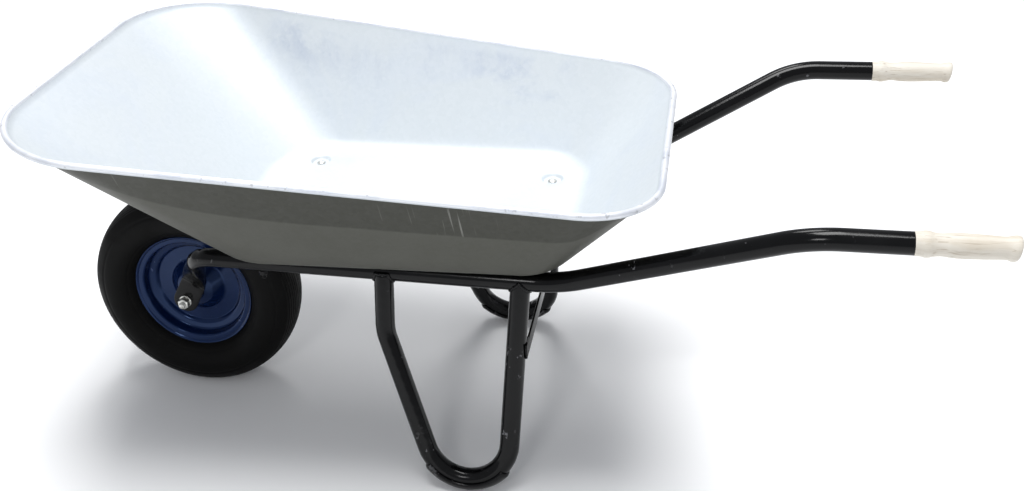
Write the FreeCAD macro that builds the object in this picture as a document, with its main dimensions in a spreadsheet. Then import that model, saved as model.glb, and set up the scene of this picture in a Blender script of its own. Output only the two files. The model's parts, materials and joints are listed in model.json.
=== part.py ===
import FreeCAD, Part
import math
import os
import re

import Sketcher
from FreeCAD import Placement, Rotation, Vector

# Wheelbarrow: pressed steel tray on a bent tube frame, one pneumatic wheel, wooden grips.
# Millimetres, +Z up. The wheel is toward -Y and the grips are toward +Y. The origin is on the
# floor, under the middle of the overall length.

SIZES = [
    ("overall_length", 1514, "front of the tyre to the ends of the grips"),
    ("tray_width", 752.6, "tray rim across its widest, squared-off front corners"),
    ("rail_height", 363, "floor to the centre line of the rails under the tray"),
    ("handle_height", 535, "floor to the centre line of the grips"),
    ("rim_front_height", 647.7, "floor to the middle of the rolled rim, front"),
    ("rim_rear_height", 535.4, "floor to the middle of the rolled rim, rear"),
    ("tube_diameter", 32, "frame tube, outside"),
    ("tube_wall", 2, "frame tube, wall"),
    ("tray_sheet", 1.2, "tray sheet thickness"),
    ("curl_radius", 5.5, "rolled rim, outside radius"),
    ("dimple_depth", 6, "pressed dimple round each tray bolt"),
    ("tyre_radius", 200, "wheel radius"),
    ("tyre_width", 108, "tyre across its widest"),
    ("flange_radius", 116, "rim flange, outside radius"),
    ("rim_width", 62, "rim across its flanges"),
    ("rim_sheet", 1.5, "rim sheet thickness"),
    ("axle_diameter", 12, "axle bolt thread size"),
    ("axle_washer", 2.5, "washer outside each fork tab"),
    ("bearing_diameter", 32, "bearing, outside diameter"),
    ("bearing_width", 10, "bearing, width"),
    ("hub_length", 90, "hub tube, end to end"),
    ("hub_wall", 3, "hub tube, wall"),
    ("fork_gap", 120, "between the inner faces of the two fork tabs"),
    ("tab_thickness", 4, "flattened tube at the axle"),
    ("tray_bolt_diameter", 8, "tray bolt thread size"),
    ("foot_plate_thickness", 4, "wear plate under each leg"),
    ("brace_height", 25, "flat bar between the legs, height"),
    ("brace_thickness", 4, "flat bar between the legs, thickness"),
    ("grip_spigot", 50, "length of the grip that goes into the tube"),
]

# Places along the length, as shares of overall_length from the front of the tyre.
STATIONS = {
    "rim_front": 0.0221,
    "axle": 0.1321,
    "fork_bend": 0.1929,
    "floor_front": 0.2203,
    "front_bolt": 0.2721,
    "leg_front": 0.4135,
    "leg_foot": 0.5017,
    "leg_rear": 0.5608,
    "rear_bolt": 0.5661,
    "rail_bend": 0.5997,
    "floor_rear": 0.6044,
    "rim_rear": 0.7017,
    "handle_bend": 0.8329,
    "tube_end": 0.9168,
    "grip_end": 1.0,
}

# Half-widths, as shares of tray_width.
HALF_WIDTHS = {
    "rim_front": 0.5,
    "rim_rear": 0.3743,
    "floor_front": 0.3033,
    "floor_rear": 0.2773,
    "fork_bend": 0.2192,
    "rail_bend": 0.2352,
    "handle": 0.392,
    "rear_bolt": 0.1758,
}

SIDES = {"left": -1, "right": 1}

# Shape of the tray.
RIM_CORNERS = (174, 128)
FLOOR_CORNERS = (120, 80)
FLOOR_FILLET = 42
DIMPLE_FLOOR = 16
DIMPLE_MOUTH = 24
BOLT_CLEARANCE = 0.4

# Shape of the frame.
TAB_WIDTH = "3.14159 * (tube_diameter - tube_wall) / 2"
TAB_RISE = 45
ARM_ROUND_LENGTH = 45
NECK_MARGIN = 0.8
NECK_OVERLAP = 3
TAB_OVERLAP = 1
COPE_GAP = 0.02
NECK_WAIST = 0.6
NECK_SPREAD = 1.22
NECK_SQUASH = 0.5
FORK_BEND_RADIUS = 55
LONG_BEND_RADIUS = 150
SECTION_POINTS = 16
SECTION_SQUARENESS = 0.6
LEG_SPLAY = math.radians(12.3)
LEG_BEND_SHARE = 0.273
LEG_BEND_RADIUS = 85
FOOT_RADIUS = 71
FOOT_PLATE_TURN = math.radians(52)
FOOT_PLATE_WRAP = math.radians(78)
BRACE_SHARE = 0.69
BRACE_SEAT = 0.8
AXLE_CLEARANCE = 0.3

# Fasteners, as shares of their thread size.
ACROSS_FLATS = 1.58
HEAD_HEIGHT = 0.63
NUT_HEIGHT = 0.9
THREAD_PROUD = 7
THREAD_SLACK = 0.05
BOLT_PROUD = 18
DOME_SPREAD = 2.6
DOME_HEIGHT = 3.9
WASHER_GAUGE = 1.6
WASHER_SLACK = 0.2

# Grips: slack in the tube, step at the joint, and lead on the spigot.
GRIP_FIT = 0.1
GRIP_PROUD = 0.5
GRIP_LEAD = 1.5

# Shape of the wheel.
RIM_SEAT = "flange_radius * 0.876"
SHOULDER_DROP = 9
SIDEWALL = 5
TREAD = 8
TYRE_BEAD_WIDTH = 15
TUBE_SKIN = 2.5
VALVE_LEAN = math.radians(28)
VALVE_LENGTH = 26
VALVE_PLACE = 100
STEM_RADIUS = 4
STEM_SEAT_GAP = 0.4
TIP_RADIUS = 3
TIP_LENGTH = 6
CAP_WALL = 0.5

# Spacers on the axle: slack and wall.
SPACER_FIT = 0.1
SPACER_WALL = 2.5
COLLAR_WALL = 3

# Bearings: seven balls between two grooved rings.
BALL_COUNT = 7
BALL_PITCH = "bearing_diameter * 0.347"
BALL_RADIUS = "bearing_diameter * 0.092"
OUTER_SHOULDER = "bearing_diameter * 0.4125"
INNER_SHOULDER = "bearing_diameter * 0.2812"
GROOVE_GAP = 0.1
CAGE_HALF_WALL = 0.9
CAGE_SHARE = 0.8

doc = FreeCAD.newDocument("Wheelbarrow")
sheet = doc.addObject("Spreadsheet::Sheet", "Sizes")
for row, (alias, number, meaning) in enumerate(SIZES, start=1):
    sheet.set(f"A{row}", alias)
    sheet.set(f"B{row}", str(number))
    sheet.set(f"C{row}", meaning)
    sheet.setAlias(f"B{row}", alias)
doc.recompute()

ALIASES = re.compile(r"\b(" + "|".join(alias for alias, _, _ in SIZES) + r")\b")


# ---------------------------------------------------------------- helpers: sheet and places

def size(expression):
    """Number that an expression in the sheet's aliases gives."""
    result = sheet.evalExpression(str(expression))
    return float(getattr(result, "Value", result))


def bound(expression):
    """The same expression as another object of the document writes it."""
    return ALIASES.sub(r"Sizes.\1", str(expression))


def along(station):
    """Expression for the Y of a station."""
    return f"overall_length * ({STATIONS[station]} - 0.5)"


def place_y(station):
    """Y of a station."""
    return size(along(station))


def half_width(name):
    """Half-width of a named place."""
    return size("tray_width") * HALF_WIDTHS[name]


def rail_x(y):
    """Distance of a rail's centre line from the middle at a place under the tray."""
    start, end = place_y("fork_bend"), place_y("rail_bend")
    share = (y - start) / (end - start)
    return half_width("fork_bend") * (1 - share) + half_width("rail_bend") * share


# ---------------------------------------------------------------- helpers: sketches and bodies

def new_body(label):
    """Body whose label names its file."""
    body = doc.addObject("PartDesign::Body", "Body_" + label)
    body.Label = label
    return body


def new_sketch(body, plane, name):
    """Sketch on one of the body's own origin planes."""
    sketch = body.newObject("Sketcher::SketchObject", name)
    face = next(item for item in body.Origin.OriginFeatures if item.Role == plane)
    sketch.AttachmentSupport = [(face, "")]
    sketch.MapMode = "FlatFace"
    return sketch


def bind_constraint(sketch, constraint, expression):
    """Add a constraint and tie its value to the sheet."""
    index = sketch.addConstraint(constraint)
    sketch.setExpression(f"Constraints[{index}]", bound(expression))


def outline(sketch, points):
    """Closed outline. A point is (x, y), or (x, y, bulge) when an arc leads to the next one.

    The bulge is the arc's height over its chord, positive to the left of the way to the next.
    """
    corners = [Vector(size(point[0]), size(point[1]), 0) for point in points]
    count = len(points)
    for index, point in enumerate(points):
        start, end = corners[index], corners[(index + 1) % count]
        if len(point) == 3:
            sketch.addGeometry(bulged_arc(start, end, size(point[2])))
        else:
            sketch.addGeometry(Part.LineSegment(start, end))
    forward = [is_forward(sketch.Geometry[index], corners[index]) for index in range(count)]
    for index in range(count):
        following = (index + 1) % count
        tail = 2 if forward[index] else 1
        head = 1 if forward[following] else 2
        sketch.addConstraint(Sketcher.Constraint("Coincident", index, tail, following, head))
    for index, point in enumerate(points):
        vertex = 1 if forward[index] else 2
        pin_vertex(sketch, index, vertex, point[0], point[1])
        if len(point) == 3:
            radius = arc_radius(corners[index], corners[(index + 1) % count], size(point[2]))
            sketch.addConstraint(Sketcher.Constraint("Radius", index, radius))


def pin_vertex(sketch, geometry, vertex, x, y):
    """Fix one end of a line or arc at two expressions."""
    for axis, kind, expression in ((-2, "DistanceX", x), (-1, "DistanceY", y)):
        number = size(expression)
        if abs(number) < 1e-9:
            sketch.addConstraint(Sketcher.Constraint("PointOnObject", geometry, vertex, axis))
        else:
            constraint = Sketcher.Constraint(kind, -1, 1, geometry, vertex, number)
            bind_constraint(sketch, constraint, expression)


def arc_radius(start, end, bulge):
    """Radius of the arc over a chord with the given height."""
    chord = start.distanceToPoint(end)
    return chord * chord / (8 * abs(bulge)) + abs(bulge) / 2


def bulged_arc(start, end, bulge):
    """Arc from start to end that rises to the left by bulge."""
    direction = (end - start).normalize()
    left = Vector(-direction.y, direction.x, 0)
    middle = (start + end) * 0.5 + left * bulge
    if bulge > 0:
        return Part.Arc(end, middle, start)
    return Part.Arc(start, middle, end)


def is_forward(geometry, start):
    """Whether a line or arc begins at the given corner."""
    return geometry.StartPoint.distanceToPoint(start) < 1e-6


def revolved(body, points):
    """Add the solid that an outline of (axial, radial) points makes round the body's X axis."""
    sketch = new_sketch(body, "XY_Plane", "Profile_" + body.Label)
    outline(sketch, points)
    turn = body.newObject("PartDesign::Revolution", "Turn_" + body.Label)
    turn.Profile = sketch
    turn.ReferenceAxis = (sketch, ["H_Axis"])
    turn.Angle = 360
    sketch.Visibility = False
    return turn


def ring_points(inner, outer, start, end):
    """Outline of a plain ring: radii, then places along its axis."""
    return [(start, inner), (end, inner), (end, outer), (start, outer)]


def move(item, x=0, y=0, z=0, rotation=None):
    """Place a sub-part at expressions of the sheet."""
    item.Placement = Placement(Vector(size(x), size(y), size(z)), rotation or Rotation())
    for letter, expression in (("x", x), ("y", y), ("z", z)):
        item.setExpression(f"Placement.Base.{letter}", bound(expression))


def at_axle(item, x=0):
    """Place a piece of the wheel on the wheel's axis."""
    move(item, x, along("axle"), "tyre_radius")


def main_solid(shape):
    """The largest solid of a shape, without the offcuts that a cut leaves behind."""
    return max(shape.Solids, key=lambda solid: solid.Volume)


def coded(label, shape):
    """Sub-part whose shape is made with Part's own functions."""
    feature = doc.addObject("Part::Feature", "Solid_" + label)
    feature.Label = label
    feature.Shape = shape
    feature.Placement = Placement()
    return feature


# ---------------------------------------------------------------- helpers: bent tube

def corner_arc(before, corner, after, radius):
    """Start, middle and end of the arc that rounds a corner."""
    backward = (before - corner).normalize()
    onward = (after - corner).normalize()
    half_turn = (math.pi - backward.getAngle(onward)) / 2
    reach = radius * math.tan(half_turn)
    inward = (backward + onward).normalize()
    middle = corner + inward * (radius / math.cos(half_turn) - radius)
    return corner + backward * reach, middle, corner + onward * reach


def bent_path(points, radii):
    """Wire through the points with an arc of the given radius at each one between."""
    edges = []
    previous = points[0]
    for before, corner, after, radius in zip(points, points[1:], points[2:], radii):
        start, middle, end = corner_arc(before, corner, after, radius)
        edges.append(Part.LineSegment(previous, start).toShape())
        edges.append(Part.Arc(start, middle, end).toShape())
        previous = end
    edges.append(Part.LineSegment(previous, points[-1]).toShape())
    return Part.Wire(edges)


def rod(path, radius):
    """Round solid along a path."""
    first = path.Edges[0]
    start = first.valueAt(first.FirstParameter)
    direction = first.tangentAt(first.FirstParameter)
    section = Part.Wire(Part.Circle(start, direction, radius).toShape())
    return path.makePipeShell([section], True, False)


def tube(path, radius, wall):
    """Round tube along a path."""
    return rod(path, radius).cut(rod(path, radius - wall))


def mirrored(shape, side):
    """The right-hand shape, or its mirror image for the left."""
    if side > 0:
        return shape
    return shape.mirror(Vector(0, 0, 0), Vector(1, 0, 0))


# ---------------------------------------------------------------- tray

def rounded_outline(front, rear, z_front, z_rear, radii, inset):
    """Wire of a trapezium with rounded corners, on a plane that may slope along Y."""
    run = place_y(rear) - place_y(front)
    length = math.hypot(run, z_rear - z_front)
    x_front = half_width(front) - inset
    x_rear = half_width(rear) - inset
    corners = [Vector(x_front, inset, 0), Vector(x_rear, length - inset, 0),
               Vector(-x_rear, length - inset, 0), Vector(-x_front, inset, 0)]
    bends = [corner_arc(corners[index - 1], corner, corners[(index + 1) % 4], radius - inset)
             for index, (corner, radius) in enumerate(zip(corners, (*radii, *reversed(radii))))]
    edges = []
    for index, (start, middle, end) in enumerate(bends):
        edges.append(Part.Arc(start, middle, end).toShape())
        edges.append(Part.LineSegment(end, bends[(index + 1) % 4][0]).toShape())
    wire = Part.Wire(edges)
    slope = math.degrees(math.atan2(z_rear - z_front, run))
    wire.Placement = Placement(Vector(0, place_y(front), z_front), Rotation(Vector(1, 0, 0), slope))
    return wire


def tray_block(inset, floor_z):
    """Solid that fills the tray from its floor to its rim."""
    low = rounded_outline("floor_front", "floor_rear", floor_z, floor_z, FLOOR_CORNERS, inset)
    curl = size("curl_radius")
    high = rounded_outline("rim_front", "rim_rear", size("rim_front_height"),
                           size("rim_rear_height"), RIM_CORNERS, inset + curl - size("tray_sheet"))
    block = Part.makeLoft([low, high], True, True)
    bottom = [edge for edge in block.Edges
              if all(abs(vertex.Z - floor_z) < 1e-6 for vertex in edge.Vertexes)]
    return block.makeFillet(FLOOR_FILLET - inset, bottom)


def curled_rim():
    """Rolled edge: a tubular bead swept round the rim."""
    path = rounded_outline("rim_front", "rim_rear", size("rim_front_height"),
                           size("rim_rear_height"), RIM_CORNERS, 0)
    return tube(path, size("curl_radius"), size("tray_sheet"))


def bolt_places():
    """X and Y of the four tray bolts."""
    front, rear = place_y("front_bolt"), place_y("rear_bolt")
    spots = []
    for side in SIDES.values():
        spots.append((side * rail_x(front), front))
        spots.append((side * half_width("rear_bolt"), rear))
    return spots


def dimpled(pan, x, y, underside):
    """The pan with one round dimple pressed down to the frame, and its bolt hole."""
    gauge = size("tray_sheet")
    depth = size("dimple_depth")
    low = Vector(x, y, underside - depth)
    cup = Part.makeCone(DIMPLE_FLOOR + gauge, DIMPLE_MOUTH + gauge, depth, low)
    hollow = Part.makeCone(DIMPLE_FLOOR, DIMPLE_MOUTH, depth, low + Vector(0, 0, gauge))
    mouth = Part.makeCylinder(DIMPLE_MOUTH, 3 * gauge, Vector(x, y, underside - gauge))
    hole = Part.makeCylinder(size("tray_bolt_diameter") / 2 + BOLT_CLEARANCE, 3 * depth,
                             low - Vector(0, 0, depth))
    return pan.cut(mouth).fuse(cup.cut(hollow)).cut(hole)


def make_tray():
    """Pan with a rolled rim, four pressed dimples and their bolt holes."""
    gauge = size("tray_sheet")
    underside = size("rail_height + tube_diameter / 2 + dimple_depth")
    pan = tray_block(0, underside).cut(tray_block(gauge, underside + gauge))
    pan = pan.fuse(curled_rim())
    for x, y in bolt_places():
        pan = dimpled(pan, x, y, underside)
    return coded("tray", main_solid(pan))


# ---------------------------------------------------------------- frame

def rail_points():
    """Corners of the right-hand rail: fork bend, rear bend, handle bend and tube end."""
    rail, handle = size("rail_height"), size("handle_height")
    return [
        Vector(half_width("fork_bend"), place_y("fork_bend"), rail),
        Vector(half_width("rail_bend"), place_y("rail_bend"), rail),
        Vector(half_width("handle"), place_y("handle_bend"), handle),
        Vector(half_width("handle"), place_y("tube_end"), handle),
    ]


def rounded_section(centre, across, outward, width, thickness):
    """Closed curve that is round when its two sizes are equal and flat when they differ."""
    squareness = 1 - SECTION_SQUARENESS * (1 - thickness / width)
    spots = []
    for step in range(SECTION_POINTS):
        angle = 2 * math.pi * step / SECTION_POINTS
        cosine, sine = math.cos(angle), math.sin(angle)
        wide = math.copysign(abs(cosine) ** squareness, cosine) * width / 2
        thick = math.copysign(abs(sine) ** squareness, sine) * thickness / 2
        spots.append(centre + across * wide + outward * thick)
    curve = Part.BSplineCurve()
    curve.interpolate(Points=spots, PeriodicFlag=True)
    return Part.Wire(curve.toShape())


def fork_tab(axle, direction):
    """Flat drilled end of a fork arm, from above the axle down to its rounded tip."""
    thickness = size("tab_thickness")
    width = size(TAB_WIDTH)
    angle = math.degrees(math.atan2(direction.y, direction.z))
    plate = Part.makeBox(thickness, width, TAB_RISE, Vector(0, -width / 2, 0))
    tip = Part.makeCylinder(width / 2, thickness, Vector(), Vector(1, 0, 0))
    tab = plate.fuse(tip)
    hole = Part.makeCylinder(size("axle_diameter") / 2 + AXLE_CLEARANCE, 3 * thickness,
                             Vector(-thickness, 0, 0), Vector(1, 0, 0))
    tab = tab.cut(hole).removeSplitter()
    tab.Placement = Placement(axle, Rotation(Vector(1, 0, 0), -angle))
    return tab


def rail_shape():
    """Right-hand rail: one tube from the flattened fork end to the grip."""
    points = rail_points()
    bend = points[0]
    axle = Vector(size("fork_gap / 2"), place_y("axle"), size("tyre_radius"))
    lean = Vector(0, bend.y - axle.y, bend.z - axle.z).normalize()
    thickness = size("tab_thickness")
    tab_top = axle + lean * TAB_RISE + Vector(thickness / 2, 0, 0)
    down = (tab_top - bend).normalize()
    arm_start = bend + down * ARM_ROUND_LENGTH
    path = bent_path([arm_start] + points, (FORK_BEND_RADIUS, LONG_BEND_RADIUS, LONG_BEND_RADIUS))
    body = tube(path, size("tube_diameter / 2"), size("tube_wall"))
    across = down.cross(Vector(1, 0, 0)).normalize()
    outward = across.cross(down).normalize()
    diameter = size("tube_diameter") + NECK_MARGIN
    width, flat = size(TAB_WIDTH) + NECK_MARGIN, thickness + NECK_MARGIN
    flat_across = lean.cross(Vector(1, 0, 0)).normalize()
    neck_top = arm_start - down * NECK_OVERLAP
    neck_foot = tab_top - lean * TAB_OVERLAP
    halfway = neck_top + (neck_foot - neck_top) * NECK_WAIST
    sections = [
        rounded_section(neck_top, across, outward, diameter, diameter),
        rounded_section(halfway, across, outward, diameter * NECK_SPREAD, diameter * NECK_SQUASH),
        rounded_section(neck_foot, flat_across, Vector(1, 0, 0), width, flat),
    ]
    neck = Part.makeLoft(sections, True, False)
    return body.fuse(neck).fuse(fork_tab(axle, lean))


def make_rails():
    """Both rails, drilled for the front tray bolts; returns solid rods to cope against."""
    shape = rail_shape()
    front = place_y("front_bolt")
    bore = size("tray_bolt_diameter") / 2 + BOLT_CLEARANCE
    below = Vector(rail_x(front), front, size("rail_height - 1.5 * tube_diameter"))
    drilled = shape.cut(Part.makeCylinder(bore, 3 * size("tube_diameter"), below))
    rods = {}
    points = rail_points()
    filled = rod(bent_path(points, (LONG_BEND_RADIUS, LONG_BEND_RADIUS)),
                 size("tube_diameter / 2") + COPE_GAP)
    for name, side in SIDES.items():
        coded(f"{name}_rail", mirrored(drilled, side))
        rods[name] = mirrored(filled, side)
    return rods


def make_crossmember(rods):
    """Tube between the rails, which carries the rear tray bolts; returns it as a solid rod."""
    reach = half_width("rail_bend")
    y = place_y("rear_bolt")
    height = size("rail_height")
    path = Part.Wire(Part.LineSegment(Vector(-reach, y, height), Vector(reach, y, height)).toShape())
    shape = tube(path, size("tube_diameter / 2"), size("tube_wall"))
    for filled in rods.values():
        shape = shape.cut(filled)
    bore = size("tray_bolt_diameter") / 2 + BOLT_CLEARANCE
    for side in SIDES.values():
        shape = shape.cut(Part.makeCylinder(bore, 3 * size("tube_diameter"),
                                            Vector(side * half_width("rear_bolt"), y, height - 48)))
    coded("rear_crossmember", main_solid(shape))
    return rod(path, size("tube_diameter / 2"))


def tangent_corner(front, rear, centre, radius):
    """Corner where the lines from two points, both tangent to a circle below, would meet."""
    lines = []
    for point, side in ((front, -1), (rear, 1)):
        gap = centre - point
        distance = gap.Length
        swing = side * math.asin(radius / distance)
        heading = Rotation(Vector(0, 0, 1), math.degrees(swing)).multVec(gap)
        lines.append((point, heading))
    (first, along_first), (second, along_second) = lines
    cross = along_first.x * along_second.y - along_first.y * along_second.x
    gap = second - first
    share = (gap.x * along_second.y - gap.y * along_second.x) / cross
    return first + along_first * share


def leg_path():
    """Right-hand leg's centre line: down from the rail, round the foot and up to the rail.

    It is worked out flat, as length along the rail and slope length below it, then stood up
    on the leg's own plane, which leans outward.
    """
    rail = size("rail_height")
    slant = 1 / math.cos(LEG_SPLAY)
    lowest = size("foot_plate_thickness + tube_diameter / 2")
    centre = Vector(place_y("leg_foot"), (lowest - rail) * slant + FOOT_RADIUS, 0)
    front = Vector(place_y("leg_front"), 0, 0)
    bend = front - Vector(0, LEG_BEND_SHARE * rail * slant, 0)
    rear = Vector(place_y("leg_rear"), 0, 0)
    corner = tangent_corner(bend, rear, centre, FOOT_RADIUS)
    spots = []
    for flat in (front, bend, corner, rear):
        drop = -flat.y * math.cos(LEG_SPLAY)
        outward = rail_x(rear.x) + drop * math.tan(LEG_SPLAY)
        spots.append(Vector(outward, flat.x, rail - drop))
    return bent_path(spots, (LEG_BEND_RADIUS, FOOT_RADIUS))


def foot_plate(path):
    """Curved wear plate that wraps the underside of the leg's lowest bend."""
    arc = path.Edges[3].Curve
    centre, axis = arc.Center, arc.Axis
    down = Vector(math.sin(LEG_SPLAY), 0, -math.cos(LEG_SPLAY))
    inner = size("tube_diameter / 2")
    outer = inner + size("foot_plate_thickness")
    lowest = centre + down * FOOT_RADIUS
    side = Vector(math.cos(LEG_SPLAY), 0, math.sin(LEG_SPLAY))

    def spot(radius, angle):
        return lowest + down * (radius * math.cos(angle)) + side * (radius * math.sin(angle))

    wrap = FOOT_PLATE_WRAP
    section = Part.Wire([
        Part.Arc(spot(outer, -wrap), spot(outer, 0), spot(outer, wrap)).toShape(),
        Part.LineSegment(spot(outer, wrap), spot(inner, wrap)).toShape(),
        Part.Arc(spot(inner, wrap), spot(inner, 0), spot(inner, -wrap)).toShape(),
        Part.LineSegment(spot(inner, -wrap), spot(outer, -wrap)).toShape(),
    ])
    face = Part.Face(section)
    turn = math.degrees(FOOT_PLATE_TURN)
    face.rotate(centre, axis, -turn)
    return face.revolve(centre, axis, 2 * turn)


def make_legs(rods, crossmember):
    """Two bent legs with their wear plates, and the flat bar that joins them."""
    path = leg_path()
    radius = size("tube_diameter / 2")
    outside = rod(path, radius).cut(rods["right"]).cut(crossmember)
    leg = main_solid(main_solid(outside).cut(rod(path, radius - size("tube_wall"))))
    plate = foot_plate(path)
    for name, side in SIDES.items():
        coded(f"{name}_leg", mirrored(leg, side))
        coded(f"{name}_foot_plate", mirrored(plate, side))
    make_brace(rod(path, radius), path)


def make_brace(leg_rod, path):
    """Flat bar across the rear of both legs, seated on their tubes."""
    rear = path.Edges[4]
    top = rear.valueAt(rear.LastParameter)
    foot = rear.valueAt(rear.FirstParameter)
    height = size(f"rail_height * {BRACE_SHARE}")
    share = (top.z - height) / (top.z - foot.z)
    spot = top + (foot - top) * share
    thickness, tall = size("brace_thickness"), size("brace_height")
    reach = spot.x + size("tube_diameter / 4")
    back = spot.y + size("tube_diameter / 2") - BRACE_SEAT
    bar = Part.makeBox(2 * reach, thickness, tall, Vector(-reach, back, height - tall / 2))
    for side in SIDES.values():
        bar = bar.cut(mirrored(leg_rod, side))
    return coded("leg_cross_brace", main_solid(bar))


# ---------------------------------------------------------------- grips

def make_grips():
    """Turned wooden grips, each with a spigot inside its tube."""
    length = f"overall_length * {STATIONS['grip_end'] - STATIONS['tube_end']:.4f}"
    bore = f"tube_diameter / 2 - tube_wall - {GRIP_FIT}"
    joint = f"tube_diameter / 2 + {GRIP_PROUD}"
    points = [
        ("-grip_spigot", "0"),
        ("-grip_spigot", f"{bore} - {GRIP_LEAD}"),
        (f"-grip_spigot + {GRIP_LEAD}", bore),
        ("0", bore),
        ("0", joint),
        (f"{length} * 0.10", f"{joint} + 0.6", "1"),
        (f"{length} * 0.26", f"{joint} + 0.4", "-1.6"),
        (f"{length} * 0.40", f"{joint} - 0.6", "1.3"),
        (f"{length} * 0.84", f"{joint} - 1.2", "-0.7"),
        (f"{length} * 0.96", f"{joint} + 0.4"),
        (length, f"{joint} - 0.8"),
        (length, "0"),
    ]
    for name, side in SIDES.items():
        body = new_body(f"{name}_grip")
        revolved(body, points)
        lateral = f"{side} * tray_width * {HALF_WIDTHS['handle']}"
        move(body, lateral, along("tube_end"), "handle_height", Rotation(Vector(0, 0, 1), 90))


# ---------------------------------------------------------------- wheel

def band(middle_line, radii, thickness):
    """Closed face of a bent strip, its middle line thickened to both sides."""
    half = thickness / 2
    runs = {1: [], -1: []}
    previous = middle_line[0]
    corners = zip(middle_line, middle_line[1:], middle_line[2:], radii)
    before = left_of(middle_line[1] - middle_line[0])
    for start, corner, end, radius in corners:
        enter, middle, leave = corner_arc(start, corner, end, radius)
        after = left_of(end - corner)
        across = (before + after).normalize()
        for sign, edges in runs.items():
            offset = sign * half
            edges.append(Part.LineSegment(previous + before * offset, enter + before * offset))
            edges.append(Part.Arc(enter + before * offset, middle + across * offset,
                                  leave + after * offset))
        previous, before = leave, after
    last = middle_line[-1]
    for sign, edges in runs.items():
        edges.append(Part.LineSegment(previous + before * (sign * half), last + before * (sign * half)))
    first_normal = left_of(middle_line[1] - middle_line[0]) * half
    caps = [Part.LineSegment(middle_line[0] + first_normal, middle_line[0] - first_normal),
            Part.LineSegment(last + before * half, last - before * half)]
    edges = [edge.toShape() for edge in (*runs[1], *runs[-1], *caps)]
    return Part.Face(Part.Wire(Part.__sortEdges__(edges)))


def left_of(direction):
    """Unit vector a quarter turn to the left, in the plane of the profile."""
    return Vector(-direction.y, direction.x, 0).normalize()


def turned(face):
    """Solid of revolution round the X axis."""
    return face.revolve(Vector(), Vector(1, 0, 0), 360)


def rim_half():
    """Pressed disc on the +X side: flange, bead seat, well, flat joint, dish and hub collar."""
    flange, lip = size("flange_radius"), size("rim_width / 2")
    joint = size("rim_sheet / 2")
    collar = size("bearing_diameter / 2 + hub_wall") + joint
    seat = size(RIM_SEAT)
    middle_line = [
        Vector(lip, flange - 0.4, 0),
        Vector(lip * 0.89, flange * 0.965, 0),
        Vector(lip * 0.86, seat, 0),
        Vector(lip * 0.30, seat - 2, 0),
        Vector(lip * 0.20, flange * 0.74, 0),
        Vector(joint, flange * 0.70, 0),
        Vector(joint, flange * 0.46, 0),
        Vector(lip * 0.66, flange * 0.30, 0),
        Vector(lip * 0.80, collar, 0),
        Vector(lip * 1.05, collar, 0),
    ]
    radii = (3, 4, 6, 8, 3, 8, 8, 3)
    return turned(band(middle_line, radii, size("rim_sheet")))


def tyre_face(inset, crown_inset):
    """Half-moon section of the tyre's outside, or of its inside at an inset."""
    radius, half = size("tyre_radius"), size("tyre_width / 2")
    flange, lip = size("flange_radius"), size("rim_width / 2")
    base = flange * 0.9
    shoulder = Vector(half * 0.74 - inset, radius - SHOULDER_DROP - crown_inset, 0)
    wall = Vector(half - inset, (radius + flange) / 2, 0)
    foot = Vector(lip * 0.97 - inset, flange + 1 + inset, 0)
    toe = Vector(lip * 0.86 - inset, base + 0.7 * inset, 0)
    crown = Vector(0, radius - crown_inset, 0)
    far_shoulder, far_wall, far_foot, far_toe = (
        Vector(-spot.x, spot.y, 0) for spot in (shoulder, wall, foot, toe))
    edges = [
        Part.Arc(foot, wall, shoulder),
        Part.Arc(shoulder, crown, far_shoulder),
        Part.Arc(far_shoulder, far_wall, far_foot),
        Part.LineSegment(far_foot, far_toe),
        Part.LineSegment(far_toe, toe),
        Part.LineSegment(toe, foot),
    ]
    return Part.Face(Part.Wire([edge.toShape() for edge in edges]))


def wheel_piece(label, shape):
    """Coded sub-part that turns round the axle."""
    feature = coded(label, shape)
    feature.Placement = Placement(axle_point(), Rotation()).multiply(shape.Placement)
    return feature


def axle_point():
    """Centre of the wheel."""
    return Vector(0, place_y("axle"), size("tyre_radius"))


def make_wheel():
    """Tyre, inner tube, two rim halves and the valve."""
    half = rim_half()
    other = half.mirror(Vector(), Vector(1, 0, 0))
    gauge = size("rim_sheet")
    opening = size("rim_width / 2") - TYRE_BEAD_WIDTH - gauge
    channel = Part.makeCylinder(size("flange_radius"), 2 * opening,
                                Vector(-opening, 0, 0), Vector(1, 0, 0))
    casing = turned(tyre_face(0, 0)).cut(turned(tyre_face(SIDEWALL, TREAD)))
    tyre = main_solid(casing.cut(channel).cut(half).cut(other))
    bladder = turned(tyre_face(SIDEWALL, TREAD))
    bladder = bladder.cut(turned(tyre_face(SIDEWALL + TUBE_SKIN, TREAD + TUBE_SKIN)))
    stem, cap, bore = valve()
    other = other.cut(bore)
    wheel_piece("tyre", tyre)
    wheel_piece("inner_tube", bladder)
    wheel_piece("right_rim_half", half)
    wheel_piece("left_rim_half", other)
    wheel_piece("valve_stem", stem)
    wheel_piece("valve_cap", cap)


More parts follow.
